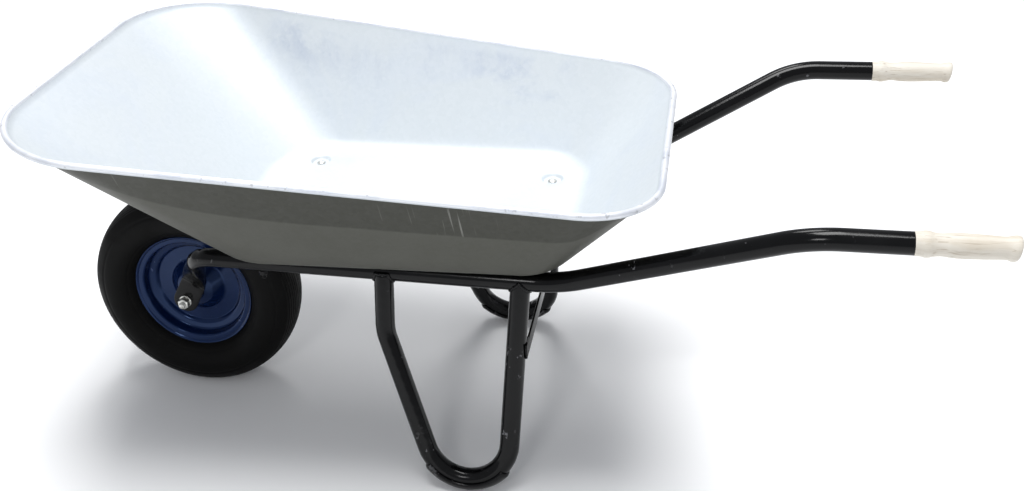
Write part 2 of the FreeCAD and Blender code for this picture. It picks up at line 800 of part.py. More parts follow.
def valve():
    """Valve stem, its cap and the hole it comes out of, in the well of the left rim half."""
    seat = size(RIM_SEAT)
    base = Vector(-size("rim_width") * 0.13, seat + STEM_RADIUS + STEM_SEAT_GAP, 0)
    lean = Vector(-math.sin(VALVE_LEAN), -math.cos(VALVE_LEAN), 0)
    tip = base + lean * VALVE_LENGTH
    stem = Part.makeCylinder(STEM_RADIUS, VALVE_LENGTH, base, lean)
    stem = stem.fuse(Part.makeCylinder(TIP_RADIUS, TIP_LENGTH, tip, lean))
    cap = Part.makeCylinder(STEM_RADIUS + CAP_WALL, 1.5 * TIP_LENGTH, tip, lean)
    cap = cap.cut(Part.makeCylinder(TIP_RADIUS + GROOVE_GAP / 2, TIP_LENGTH + 1, tip, lean))
    bore = Part.makeCylinder(STEM_RADIUS + GROOVE_GAP / 2, VALVE_LENGTH + STEM_RADIUS, base, lean)
    spin = Rotation(Vector(1, 0, 0), VALVE_PLACE)
    for shape in (stem, cap, bore):
        shape.Placement = Placement(Vector(), spin).multiply(shape.Placement)
    return stem, cap, bore


def make_hub():
    """Hub tube, the spacer between the bearings, and a spacer at each fork tab."""
    bore = "bearing_diameter / 2"
    hub = new_body("hub_tube")
    revolved(hub, ring_points(bore, f"{bore} + hub_wall", "-hub_length / 2", "hub_length / 2"))
    at_axle(hub)
    inner_end = "hub_length / 2 - bearing_width"
    spacer = new_body("bearing_spacer")
    inside = f"axle_diameter / 2 + {SPACER_FIT}"
    revolved(spacer, ring_points(inside, f"axle_diameter / 2 + {SPACER_WALL}",
                                 f"-({inner_end})", inner_end))
    at_axle(spacer)
    for name, side in SIDES.items():
        collar = new_body(f"{name}_fork_spacer")
        revolved(collar, ring_points(inside, f"axle_diameter / 2 + {COLLAR_WALL}",
                                     "hub_length / 2", "fork_gap / 2"))
        at_axle(collar)
        collar.Placement = Placement(collar.Placement.Base, facing(side))


def facing(side):
    """Turn that points a piece made for +X the other way for the left side."""
    return Rotation(Vector(0, 0, 1), 0 if side > 0 else 180)


# ---------------------------------------------------------------- bearings

def make_bearings():
    """Two ball bearings: rings as bodies, the balls and their cages as coded solids."""
    half = "bearing_width / 2"
    outer, bore = "bearing_diameter / 2", "axle_diameter / 2"
    groove = size(BALL_RADIUS) + GROOVE_GAP
    pitch = size(BALL_PITCH)
    rings = {
        "outer_ring": (outer, OUTER_SHOULDER, 1),
        "inner_ring": (bore, INNER_SHOULDER, -1),
    }
    for name, side in SIDES.items():
        middle = f"{side} * (hub_length / 2 - bearing_width / 2)"
        for ring, (seat, shoulder, outward) in rings.items():
            offset = abs(size(shoulder) - pitch)
            mouth = math.sqrt(groove ** 2 - offset ** 2)
            depth = groove - offset
            body = new_body(f"{name}_bearing_{ring}")
            revolved(body, [
                (f"-{half}", seat),
                (f"-{half}", shoulder),
                (f"{-mouth:.4f}", shoulder, f"{outward * depth:.4f}"),
                (f"{mouth:.4f}", shoulder),
                (half, shoulder),
                (half, seat),
            ])
            at_axle(body, middle)
        balls, cage = ball_set(pitch)
        for label, shape in (("balls", balls), ("cage", cage)):
            feature = wheel_piece(f"{name}_bearing_{label}", shape)
            feature.Placement = Placement(axle_point() + Vector(size(middle), 0, 0), Rotation())


def ball_set(pitch):
    """Balls of one bearing as separate solids, and the ring that spaces them."""
    radius = size(BALL_RADIUS)
    width = size("bearing_width") * CAGE_SHARE
    along = Vector(1, 0, 0)
    cage = Part.makeCylinder(pitch + CAGE_HALF_WALL, width, along * (-width / 2), along)
    cage = cage.cut(Part.makeCylinder(pitch - CAGE_HALF_WALL, 2 * width, along * -width, along))
    balls = []
    for index in range(BALL_COUNT):
        angle = 2 * math.pi * index / BALL_COUNT
        centre = Vector(0, pitch * math.cos(angle), pitch * math.sin(angle))
        balls.append(Part.makeSphere(radius, centre))
        pocket = Part.makeCylinder(radius + GROOVE_GAP / 2, 2 * radius, centre * (1 - radius / pitch), centre)
        cage = cage.cut(pocket)
    return Part.makeCompound(balls), cage


# ---------------------------------------------------------------- fasteners

def hexagon(body, across_flats, thickness, start):
    """Pad a hexagonal prism along the body's X axis."""
    sketch = new_sketch(body, "YZ_Plane", "Hexagon_" + body.Label)
    corner = size(across_flats) / math.sqrt(3)
    for index in range(6):
        ends = [Vector(corner * math.cos(math.radians(angle)), corner * math.sin(math.radians(angle)), 0)
                for angle in (60 * index, 60 * index + 60)]
        sketch.addGeometry(Part.LineSegment(*ends))
    for index in range(6):
        sketch.addConstraint(Sketcher.Constraint("Coincident", index, 2, (index + 1) % 6, 1))
    for index in range(5):
        sketch.addConstraint(Sketcher.Constraint("Equal", index, index + 1))
    sketch.addConstraint(Sketcher.Constraint("Symmetric", 0, 1, 2, 2, -1, 1))
    sketch.addConstraint(Sketcher.Constraint("Symmetric", 1, 1, 3, 2, -1, 1))
    sketch.addConstraint(Sketcher.Constraint("PointOnObject", 0, 1, -1))
    bind_constraint(sketch, Sketcher.Constraint("Distance", 0, corner), f"({across_flats}) / sqrt(3)")
    sketch.AttachmentOffset = Placement(Vector(0, 0, size(start)), Rotation())
    pad = body.newObject("PartDesign::Pad", "Prism_" + body.Label)
    pad.Profile = sketch
    pad.setExpression("Length", bound(thickness))
    sketch.Visibility = False
    return pad


def make_axle_bolt():
    """Bolt through the fork and the wheel, head on the left, thread end on the right."""
    outside = "fork_gap / 2 + tab_thickness + axle_washer"
    bolt = new_body("axle_bolt")
    nut_height = f"axle_diameter * {NUT_HEIGHT}"
    head_height = f"axle_diameter * {HEAD_HEIGHT}"
    flats = f"axle_diameter * {ACROSS_FLATS}"
    end = f"{outside} + {nut_height} + {THREAD_PROUD}"
    shank = f"axle_diameter / 2 - {THREAD_SLACK}"
    revolved(bolt, [
        (f"-({outside})", "0"),
        (f"-({outside})", shank),
        (f"{end} - 1.5", shank),
        (end, f"{shank} - 1.5"),
        (end, "0"),
    ])
    hexagon(bolt, flats, head_height, f"-({outside} + {head_height})")
    at_axle(bolt)
    nut = new_body("axle_nut")
    hexagon(nut, flats, nut_height, outside)
    bore_through(nut, "axle_diameter / 2", outside, f"{outside} + {nut_height}")
    at_axle(nut)


def bore_through(body, radius, start, end):
    """Cut a round hole along the body's X axis."""
    sketch = new_sketch(body, "XY_Plane", "Bore_" + body.Label)
    outline(sketch, ring_points("0", radius, start, end))
    groove = body.newObject("PartDesign::Groove", "Cut_" + body.Label)
    groove.Profile = sketch
    groove.ReferenceAxis = (sketch, ["H_Axis"])
    groove.Angle = 360
    sketch.Visibility = False


def make_axle_washers():
    """The two identical washers, one outside each fork tab."""
    thickness = size("axle_washer")
    start = size("fork_gap / 2 + tab_thickness")
    washers = []
    for side in SIDES.values():
        disc = Part.makeCylinder(size("axle_diameter"), thickness, Vector(side * start, 0, 0),
                                 Vector(side, 0, 0))
        hole = Part.makeCylinder(size(f"axle_diameter / 2 + {AXLE_CLEARANCE}"), 3 * thickness,
                                 Vector(side * (start - thickness), 0, 0), Vector(side, 0, 0))
        washers.append(disc.cut(hole))
    wheel_piece("axle_washers", Part.makeCompound(washers))


def tray_bolt():
    """Round-headed bolt with its head's underside at the origin."""
    radius = size("tray_bolt_diameter") / 2
    down = Vector(0, 0, -1)
    shank = Part.makeCylinder(radius - THREAD_SLACK, size("tube_diameter") + BOLT_PROUD, Vector(), down)
    dome_radius = DOME_SPREAD * radius
    dome = Part.makeSphere(dome_radius, Vector(0, 0, DOME_HEIGHT - dome_radius))
    return shank.fuse(dome.common(Part.makeCylinder(2 * radius, 2 * DOME_HEIGHT, Vector())))


def tray_washer():
    """Flat washer with its top at the origin."""
    radius = size("tray_bolt_diameter")
    down = Vector(0, 0, -1)
    disc = Part.makeCylinder(radius, WASHER_GAUGE, Vector(), down)
    return disc.cut(Part.makeCylinder(radius / 2 + WASHER_SLACK, 2 * WASHER_GAUGE, Vector(), down))


def tray_nut():
    """Hexagon nut with its top at the origin."""
    width = size("tray_bolt_diameter")
    corner = width * ACROSS_FLATS / math.sqrt(3)
    spots = [Vector(corner * math.cos(math.radians(60 * index)),
                    corner * math.sin(math.radians(60 * index)), 0) for index in range(7)]
    prism = Part.Face(Part.makePolygon(spots)).extrude(Vector(0, 0, -NUT_HEIGHT * width))
    return prism.cut(Part.makeCylinder(width / 2, width, Vector(), Vector(0, 0, -1)))


def make_tray_fasteners():
    """Four identical bolts, washers and nuts, each kind in one group."""
    under_head = size("rail_height + tube_diameter / 2 + tray_sheet")
    under_tube = size("rail_height - tube_diameter / 2")
    kinds = {
        "tray_bolts": (tray_bolt(), under_head),
        "tray_washers": (tray_washer(), under_tube),
        "tray_nuts": (tray_nut(), under_tube - WASHER_GAUGE),
    }
    for label, (shape, height) in kinds.items():
        copies = [shape.translated(Vector(x, y, height)) for x, y in bolt_places()]
        coded(label, Part.makeCompound(copies))


# ---------------------------------------------------------------- build and export

def sub_parts():
    """Objects of the document that each become one file."""
    kinds = ("PartDesign::Body", "Part::Feature")
    return [item for item in doc.Objects if item.TypeId in kinds]


def check_document():
    """Stop if any object failed or any sub-part is not a sound solid."""
    for item in doc.Objects:
        if {"Invalid", "Error"} & set(item.State):
            raise RuntimeError(f"{item.Label} failed: {item.State}")
    for item in sub_parts():
        if item.Shape.isNull() or not item.Shape.isValid() or not item.Shape.Solids:
            raise RuntimeError(f"{item.Label} has no sound solid")


def export_parts():
    """Write each sub-part to its own file."""
    os.makedirs("parts", exist_ok=True)
    for item in sub_parts():
        item.Shape.exportStep(f"parts/{item.Label}.step")


make_tray()
rail_rods = make_rails()
crossmember_rod = make_crossmember(rail_rods)
make_legs(rail_rods, crossmember_rod)
make_grips()
make_wheel()
make_hub()
make_bearings()
make_axle_bolt()
make_axle_washers()
make_tray_fasteners()
doc.recompute()
check_document()
export_parts()
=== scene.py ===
import json
import math
import random

import bmesh
import bpy
from mathutils import Matrix, Vector, noise


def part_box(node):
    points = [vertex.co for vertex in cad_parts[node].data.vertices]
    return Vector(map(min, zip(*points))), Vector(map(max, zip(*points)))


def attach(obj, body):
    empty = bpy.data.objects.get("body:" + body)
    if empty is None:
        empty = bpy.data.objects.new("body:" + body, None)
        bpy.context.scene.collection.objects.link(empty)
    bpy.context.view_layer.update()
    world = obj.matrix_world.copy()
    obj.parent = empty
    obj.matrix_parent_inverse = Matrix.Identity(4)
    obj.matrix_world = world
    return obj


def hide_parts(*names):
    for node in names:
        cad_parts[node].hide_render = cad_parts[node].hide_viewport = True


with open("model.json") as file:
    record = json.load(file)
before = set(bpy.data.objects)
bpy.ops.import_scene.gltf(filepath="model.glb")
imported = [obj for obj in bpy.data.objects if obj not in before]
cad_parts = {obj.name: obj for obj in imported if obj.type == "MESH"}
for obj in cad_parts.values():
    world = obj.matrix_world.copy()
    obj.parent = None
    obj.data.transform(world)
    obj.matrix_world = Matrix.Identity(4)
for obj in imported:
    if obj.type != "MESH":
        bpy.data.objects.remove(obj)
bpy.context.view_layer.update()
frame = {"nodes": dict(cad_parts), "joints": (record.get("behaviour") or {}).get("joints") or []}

# Metres, in the row frame: wheel toward -Y, grips toward +Y, floor at z = 0.

NODES = frame["nodes"]
AXLE = Vector(next(j for j in frame["joints"] if j["name"] == "wheel_spin")["pos_m"])
RIGHT, LEFT = 1, -1
UP = Vector((0, 0, 1))
ACROSS = Vector((1, 0, 0))

TUBE = 0.016
RAIL_BENDS = [Vector((0.1650, -0.4650, 0.363)), Vector((0.1770, 0.1510, 0.363)),
              Vector((0.2950, 0.5040, 0.535)), Vector((0.2950, 0.6330, 0.535))]
BEND_RADII = (0.055, 0.150, 0.150)
TAB_X = 0.062
TAB_RISE = 0.045
TAB_WIDTH = 0.0471
TAB_THICKNESS = 0.004
ARM_ROUND = 0.030

SHEET = 0.0012
CURL = 0.0055
DIMPLE_DEPTH = 0.006
BEAD_START = 0.0012
FLOOR_Z = 0.3856


# ------------------------------------------------------------------ shapes

def corner_samples(before, corner, after, radius, count):
    """Points round an arc that rounds a corner, ends included."""
    back = (before - corner).normalized()
    onward = (after - corner).normalized()
    half_turn = (math.pi - back.angle(onward)) / 2
    reach = radius * math.tan(half_turn)
    inward = (back + onward).normalized()
    centre = corner + inward * (radius / math.cos(half_turn))
    start = corner + back * reach - centre
    end = corner + onward * reach - centre
    sweep = start.angle(end)
    spots = []
    for index in range(count + 1):
        share = index / count
        spots.append(centre + (start * math.sin((1 - share) * sweep) + end * math.sin(share * sweep))
                     / math.sin(sweep))
    return spots


def even_path(points, radii, spacing):
    """Points along straight runs joined by arcs, evenly spaced."""
    spots = [points[0]]
    for before, corner, after, radius in zip(points, points[1:], points[2:], radii):
        spots += corner_samples(before, corner, after, radius, 24)
    spots.append(points[-1])
    return resampled(spots, spacing)


def resampled(spots, spacing):
    """The same line with evenly spaced points."""
    lengths = [0]
    for first, second in zip(spots, spots[1:]):
        lengths.append(lengths[-1] + (second - first).length)
    count = max(2, round(lengths[-1] / spacing))
    result, index = [], 0
    for step in range(count + 1):
        goal = lengths[-1] * step / count
        while index < len(spots) - 2 and lengths[index + 1] < goal:
            index += 1
        run = lengths[index + 1] - lengths[index] or 1
        result.append(spots[index].lerp(spots[index + 1], (goal - lengths[index]) / run))
    return result


def tangents(spots, closed=False):
    """Unit direction of the line at each point."""
    last = len(spots) - 1
    found = []
    for index in range(len(spots)):
        before = spots[index - 1] if closed or index else spots[0]
        after = spots[(index + 1) % len(spots)] if closed or index < last else spots[last]
        found.append((after - before).normalized())
    return found


def lengths_along(spots):
    """Distance from the start to each point."""
    total = [0]
    for first, second in zip(spots, spots[1:]):
        total.append(total[-1] + (second - first).length)
    return total


def mesh_piece(name, points, faces, body, slot, material, replaces=(), smooth=True):
    """New mesh object, riding on a body."""
    mesh = bpy.data.meshes.new(name)
    mesh.from_pydata([tuple(point) for point in points], [], faces)
    mesh.validate()
    mesh.update()
    for polygon in mesh.polygons:
        polygon.use_smooth = smooth
    thing = bpy.data.objects.new(name, mesh)
    bpy.context.scene.collection.objects.link(thing)
    thing.data.materials.append(material)
    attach(thing, body)
    if replaces:
        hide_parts(*replaces)
    return thing


def skin(rings, closed_around=True, closed_along=False, cap_start=False, cap_end=False):
    """Points and faces of a surface through a row of rings with equally many points."""
    points = [point for ring in rings for point in ring]
    size = len(rings[0])
    faces = []
    rows = len(rings) if closed_along else len(rings) - 1
    columns = size if closed_around else size - 1
    for row in range(rows):
        low, high = row * size, (row + 1) % len(rings) * size
        for column in range(columns):
            beside = (column + 1) % size
            faces.append((low + column, low + beside, high + beside, high + column))
    if cap_start:
        faces.append(tuple(reversed(range(size))))
    if cap_end:
        faces.append(tuple(range((len(rings) - 1) * size, len(rings) * size)))
    return points, faces


def swept(spots, section, around=40, reference=ACROSS, closed=False, caps=True):
    """Surface swept along a line; section(length, angle) gives the radius there, or a pair."""
    ways = tangents(spots, closed)
    distances = lengths_along(spots)
    rings = []
    for spot, way, distance in zip(spots, ways, distances):
        side = (reference - way * reference.dot(way)).normalized()
        outward = way.cross(side)
        ring = []
        for index in range(around):
            angle = 2 * math.pi * index / around
            value = section(distance, angle)
            if not isinstance(value, tuple):
                value = (value * math.cos(angle), value * math.sin(angle))
            ring.append(spot + side * value[0] + outward * value[1])
        rings.append(ring)
    return skin(rings, True, closed, caps and not closed, caps and not closed)


def lathed(profile, centre, axis="X", around=96, closed=True):
    """Surface of revolution of (along, radius) pairs."""
    rings = []
    for index in range(around):
        angle = 2 * math.pi * index / around
        cosine, sine = math.cos(angle), math.sin(angle)
        ring = []
        for along, radius in profile:
            if axis == "X":
                offset = Vector((along, radius * cosine, radius * sine))
            elif axis == "Y":
                offset = Vector((radius * sine, along, radius * cosine))
            else:
                offset = Vector((radius * cosine, radius * sine, along))
            ring.append(centre + offset)
        rings.append(ring)
    return skin(rings, closed, True)


def joined(*parts):
    """One point list and face list from several."""
    points, faces = [], []
    for more_points, more_faces in parts:
        base = len(points)
        points += more_points
        faces += [tuple(base + index for index in face) for face in more_faces]
    return points, faces


def mirrored(shape):
    """The same surface on the other side of the machine."""
    points, faces = shape
    return [Vector((-p.x, p.y, p.z)) for p in points], [tuple(reversed(face)) for face in faces]


def smooth_step(low, high, value):
    """0 below low, 1 above high, smooth between."""
    share = min(max((value - low) / (high - low), 0), 1)
    return share * share * (3 - 2 * share)


# ------------------------------------------------------------------ finishes

class Finish:
    """A node material built on one Principled shader."""

    def __init__(self, name, colour, roughness, metallic=0.0, **sockets):
        self.material = bpy.data.materials.new(name)
        self.material.use_nodes = True
        self.nodes = self.material.node_tree.nodes
        self.links = self.material.node_tree.links
        self.shader = self.nodes["Principled BSDF"]
        self.place = self.nodes.new("ShaderNodeTexCoord").outputs["Object"]
        self.shader.inputs["Base Color"].default_value = (*colour, 1)
        self.shader.inputs["Roughness"].default_value = roughness
        self.shader.inputs["Metallic"].default_value = metallic
        for socket, value in sockets.items():
            self.shader.inputs[socket.replace("_", " ")].default_value = value
        self.colour = None
        self.base = colour
        self.rough = roughness
        self.normal = None

    def stretched(self, scale, turn=(0, 0, 0)):
        """Object coordinates, scaled differently along each axis."""
        mapping = self.nodes.new("ShaderNodeMapping")
        mapping.inputs["Scale"].default_value = scale
        mapping.inputs["Rotation"].default_value = turn
        self.links.new(self.place, mapping.inputs["Vector"])
        return mapping.outputs["Vector"]

    def grain(self, scale, detail=4, roughness=0.55, stretch=None, distortion=0.0, turn=(0, 0, 0)):
        """Noise from 0 to 1."""
        texture = self.nodes.new("ShaderNodeTexNoise")
        texture.inputs["Scale"].default_value = scale
        texture.inputs["Detail"].default_value = detail
        texture.inputs["Roughness"].default_value = roughness
        texture.inputs["Distortion"].default_value = distortion
        source = self.stretched(stretch, turn) if stretch else self.place
        self.links.new(source, texture.inputs["Vector"])
        return texture.outputs["Fac"]

    def crystals(self, scale):
        """Random flat colour per cell, as a value."""
        texture = self.nodes.new("ShaderNodeTexVoronoi")
        texture.inputs["Scale"].default_value = scale
        self.links.new(self.place, texture.inputs["Vector"])
        grey = self.nodes.new("ShaderNodeRGBToBW")
        self.links.new(texture.outputs["Color"], grey.inputs["Color"])
        return grey.outputs["Val"]

    def component(self, axis):
        """One of the object coordinates."""
        splitter = self.nodes.new("ShaderNodeSeparateXYZ")
        self.links.new(self.place, splitter.inputs["Vector"])
        return splitter.outputs[axis]

    def attribute(self, name):
        """Value stored on the mesh."""
        reader = self.nodes.new("ShaderNodeAttribute")
        reader.attribute_name = name
        return reader.outputs["Fac"]

    def mapped(self, value, low, high, start=0.0, end=1.0):
        """Value between low and high, mapped smoothly to start and end."""
        mapper = self.nodes.new("ShaderNodeMapRange")
        mapper.interpolation_type = "SMOOTHSTEP"
        self.links.new(value, mapper.inputs["Value"])
        for socket, number in (("From Min", low), ("From Max", high), ("To Min", start), ("To Max", end)):
            mapper.inputs[socket].default_value = number
        return mapper.outputs["Result"]

    def math(self, operation, first, second):
        """Arithmetic on two values or numbers."""
        node = self.nodes.new("ShaderNodeMath")
        node.operation = operation
        for socket, value in zip(node.inputs, (first, second)):
            if isinstance(value, (int, float)):
                socket.default_value = value
            else:
                self.links.new(value, socket)
        return node.outputs["Value"]

    def tint(self, mask, colour, strength=1.0):
        """Lay a colour over the present one where the mask is high."""
        mix = self.nodes.new("ShaderNodeMix")
        mix.data_type = "RGBA"
        amount = self.math("MULTIPLY", mask, strength) if strength != 1 else mask
        self.links.new(amount, mix.inputs["Factor"])
        if self.colour is None:
            mix.inputs["A"].default_value = (*self.base, 1)
        else:
            self.links.new(self.colour, mix.inputs["A"])
        mix.inputs["B"].default_value = (*colour, 1)
        self.colour = mix.outputs["Result"]
        self.links.new(self.colour, self.shader.inputs["Base Color"])
        return self

    def roughen(self, mask, amount):
        """Add to the roughness where the mask is high."""
        added = self.math("MULTIPLY", mask, amount)
        self.rough = self.math("ADD", added, self.rough)
        self.links.new(self.rough, self.shader.inputs["Roughness"])
        return self

    def bump(self, height, distance, strength=1.0):
        """Raise the surface by the height, in metres at full height."""
        node = self.nodes.new("ShaderNodeBump")
        node.inputs["Distance"].default_value = distance
        node.inputs["Strength"].default_value = strength
        self.links.new(height, node.inputs["Height"])
        if self.normal is not None:
            self.links.new(self.normal, node.inputs["Normal"])
        self.normal = node.outputs["Normal"]
        self.links.new(self.normal, self.shader.inputs["Normal"])
        return self


def tray_inside():
    """Pale galvanised sheet with a burnished, streaked band below the rim and faint smudges."""
    finish = Finish("tray_inside", (0.585, 0.625, 0.650), 0.44, 0.20)
    below = finish.attribute("below_rim")
    band = finish.math("MULTIPLY", finish.mapped(below, 0.008, 0.022), finish.mapped(below, 0.115, 0.05))
    along = finish.math("MULTIPLY", finish.mapped(finish.component("Y"), -0.60, -0.42),
                        finish.mapped(finish.component("Y"), 0.26, 0.12))
    band = finish.math("MULTIPLY", band, along)
    streaks = finish.mapped(finish.grain(9, 6, 0.6, stretch=(1, 1, 0.16), distortion=0.4), 0.40, 0.66)
    patches = finish.mapped(finish.grain(5, 5, 0.62, distortion=1.2), 0.42, 0.70)
    smudge = finish.math("MULTIPLY", band, finish.math("MULTIPLY", streaks, patches))
    finish.tint(patches, (0.52, 0.58, 0.68), 0.25)
    finish.tint(smudge, (0.30, 0.36, 0.48), 0.70)
    spangle = finish.crystals(150)
    finish.tint(spangle, (0.70, 0.73, 0.76), 0.25)
    finish.roughen(smudge, -0.14).roughen(finish.grain(60, 3), 0.12)
    finish.bump(finish.grain(7, 3, 0.5), 0.0022, 0.35)
    finish.bump(finish.grain(420, 3), 0.00012, 0.5)
    return finish.material


def tray_outside():
    """The same sheet underneath, in dull olive grey: its whole base colour is darkened as painted shade for
    the shaded underside, and a darker harder-drawn band is scratched down from the rim.
    """
    # Dark base colour: the sheet's own olive grey, darkened further as painted shade for the tray's shaded
    # outside.
    finish = Finish("tray_outside", (0.068, 0.069, 0.056), 0.46, 0.25)
    wander = finish.math("MULTIPLY", finish.math("SUBTRACT", finish.grain(3.0, 2), 0.5), 0.06)
    above = finish.math("ADD", finish.attribute("above_band"), wander)
    upper = finish.mapped(above, -0.012, 0.016)
    finish.tint(finish.mapped(finish.grain(10, 5, 0.6), 0.35, 0.7), (0.084, 0.085, 0.071), 0.7)
    finish.tint(finish.mapped(above, -0.30, -0.58), (0.056, 0.057, 0.047), 0.55)
    finish.tint(upper, (0.034, 0.035, 0.026), 0.92)
    scratches = finish.mapped(finish.grain(170, 2, 0.5, stretch=(0.03, 1, 0.03)), 0.62, 0.72)
    worn = finish.mapped(finish.grain(5, 3), 0.50, 0.64)
    marks = finish.math("MULTIPLY", finish.math("MULTIPLY", scratches, worn), upper)
    finish.tint(marks, (0.26, 0.26, 0.24), 0.75)
    finish.tint(finish.crystals(150), (0.13, 0.13, 0.12), 0.12)
    finish.roughen(marks, 0.15).roughen(finish.grain(40, 3), 0.15)
    finish.bump(finish.grain(6, 3, 0.5), 0.0022, 0.3)
    finish.bump(finish.grain(420, 3), 0.00012, 0.5)
    return finish.material


def rolled_edge():
    """Bright rolled bead."""
    finish = Finish("tray_bead", (0.78, 0.80, 0.84), 0.34, 0.45)
    finish.tint(finish.mapped(finish.grain(14, 5, 0.6), 0.42, 0.68), (0.52, 0.56, 0.64), 0.6)
    finish.tint(finish.mapped(finish.grain(90, 3, 0.5), 0.62, 0.72), (0.30, 0.31, 0.33), 0.5)
    finish.roughen(finish.grain(50, 3), 0.2)
    finish.bump(finish.grain(260, 3), 0.0002, 0.5)
    return finish.material


def black_paint(name="black_paint", wear=0.62):
    """Gloss black enamel with a little orange peel, dust and chips."""
    finish = Finish(name, (0.0016, 0.0017, 0.0020), 0.13, 0.0, Specular_IOR_Level=0.20)
    dust = finish.mapped(finish.grain(11, 6, 0.65), 0.45, 0.75)
    chips = finish.mapped(finish.grain(75, 4, 0.6), wear + 0.04, wear + 0.065)
    field = finish.mapped(finish.grain(9, 2), 0.5, 0.64)
    chips = finish.math("MULTIPLY", chips, field)
    finish.tint(dust, (0.0050, 0.0052, 0.0056), 0.5)
    finish.tint(chips, (0.16, 0.16, 0.17), 0.8)
    finish.roughen(dust, 0.10).roughen(chips, 0.3)
    finish.bump(finish.grain(240, 2), 0.00018, 0.35)
    finish.bump(chips, 0.00015, -0.6)
    return finish.material


def blue_paint():
    """Gloss dark blue enamel."""
    finish = Finish("blue_paint", (0.0022, 0.0085, 0.0400), 0.13, 0.0, Specular_IOR_Level=0.5,
                    Specular_Tint=(0.34, 0.52, 1.0, 1))
    dust = finish.mapped(finish.grain(16, 6, 0.65), 0.45, 0.75)
    chips = finish.mapped(finish.grain(95, 4, 0.6), 0.67, 0.70)
    finish.tint(dust, (0.0055, 0.0140, 0.0620), 0.5)
    finish.tint(chips, (0.07, 0.09, 0.18), 0.6)
    finish.roughen(dust, 0.15)
    finish.bump(finish.grain(260, 2), 0.00015, 0.35)
    return finish.material


def tyre_rubber():
    """Black rubber, dusty in its grooves."""
    finish = Finish("tyre_rubber", (0.0012, 0.0012, 0.0012), 0.52, Specular_IOR_Level=0.10)
    dust = finish.mapped(finish.grain(9, 6, 0.65, distortion=0.6), 0.42, 0.75)
    finish.tint(dust, (0.0036, 0.0034, 0.0031), 0.6)
    finish.tint(finish.mapped(finish.grain(240, 3), 0.55, 0.75), (0.0028, 0.0028, 0.0028), 0.5)
    finish.roughen(dust, 0.22)
    finish.bump(finish.grain(520, 4), 0.00025, 0.5)
    return finish.material


def dull_rubber():
    """Smooth matt rubber."""
    finish = Finish("tube_rubber", (0.020, 0.020, 0.021), 0.7)
    finish.tint(finish.mapped(finish.grain(40, 4), 0.4, 0.8), (0.05, 0.05, 0.05), 0.6)
    finish.bump(finish.grain(500, 3), 0.00015, 0.4)
    return finish.material


def pale_wood():
    """Turned pale hardwood: lengthwise grain, fine pores and lathe lines."""
    finish = Finish("pale_wood", (0.66, 0.625, 0.555), 0.52)
    long_grain = finish.grain(55, 6, 0.65, stretch=(1, 0.045, 1), distortion=0.8)
    pores = finish.grain(420, 3, 0.6, stretch=(1, 0.03, 1))
    finish.tint(finish.mapped(long_grain, 0.38, 0.66), (0.48, 0.41, 0.31), 0.55)
    finish.tint(finish.mapped(pores, 0.56, 0.74), (0.22, 0.15, 0.08), 0.60)
    finish.tint(finish.mapped(finish.grain(14, 4), 0.5, 0.8), (0.44, 0.35, 0.23), 0.30)
    finish.roughen(long_grain, 0.18)
    finish.bump(long_grain, 0.0005, 0.35)
    finish.bump(pores, 0.0002, 0.5)
    return finish.material


def plated(name, colour, roughness):
    """Bright plated or ground metal."""
    finish = Finish(name, colour, roughness, 0.95)
    dull = finish.mapped(finish.grain(120, 5, 0.6), 0.42, 0.72)
    finish.tint(dull, tuple(0.55 * part for part in colour), 0.6)
    finish.roughen(dull, 0.25)
    finish.bump(finish.grain(700, 3), 0.00008, 0.5)
    return finish.material


def matt_plastic():
    """Black moulded plastic."""
    finish = Finish("black_plastic", (0.02, 0.02, 0.022), 0.5)
    finish.tint(finish.mapped(finish.grain(60, 4), 0.45, 0.8), (0.06, 0.06, 0.06), 0.5)
    finish.bump(finish.grain(600, 3), 0.0001, 0.5)
    return finish.material


INSIDE, OUTSIDE, BEAD = tray_inside(), tray_outside(), rolled_edge()
PAINT, SCUFFED = black_paint(), black_paint("scuffed_paint", 0.58)
WORN = black_paint("worn_paint", 0.50)
BLUE, RUBBER, TUBE_RUBBER, WOOD = blue_paint(), tyre_rubber(), dull_rubber(), pale_wood()
ZINC = plated("zinc_plate", (0.66, 0.66, 0.63), 0.30)
STEEL = plated("bearing_steel", (0.60, 0.60, 0.61), 0.16)
BRASS = plated("brass", (0.72, 0.52, 0.22), 0.28)
PLASTIC = matt_plastic()


# ------------------------------------------------------------------ tray

def outline(corners, radii, z_front, z_rear, inset, counts):
    """Samples round the right half, then the left half, of a rounded trapezium on a sloping plane.

    corners are its front and rear (half width, y). Each sample is (point, outward direction).
    """
    (x_front, y_front), (x_rear, y_rear) = corners
    run = y_rear - y_front
    length = math.hypot(run, z_rear - z_front)
    along = Vector((0, run, z_rear - z_front)) / length
    flat = [Vector((x_front - inset, inset, 0)), Vector((x_rear - inset, length - inset, 0)),
            Vector((-x_rear + inset, length - inset, 0)), Vector((-x_front + inset, inset, 0))]
    bends = []
    for index, corner in enumerate(flat):
        radius = (*radii, *reversed(radii))[index] - inset
        bends.append(corner_samples(flat[index - 1], corner, flat[(index + 1) % 4], radius,
                                    counts["corner"]))
    spots = []
    straights = (counts["side"], counts["end"], counts["side"], counts["end"])
    for index, bend in enumerate(bends):
        spots += bend
        following = bends[(index + 1) % 4][0]
        for step in range(1, straights[index]):
            spots.append(bend[-1].lerp(following, step / straights[index]))
    result = []
    for index, spot in enumerate(spots):
        way = (spots[(index + 1) % len(spots)] - spots[index - 1]).normalized()
        outward = Vector((way.y, -way.x, 0))
        origin = Vector((0, y_front, z_front))
        result.append((origin + ACROSS * spot.x + along * spot.y,
                       ACROSS * outward.x + along * outward.y))
    return result


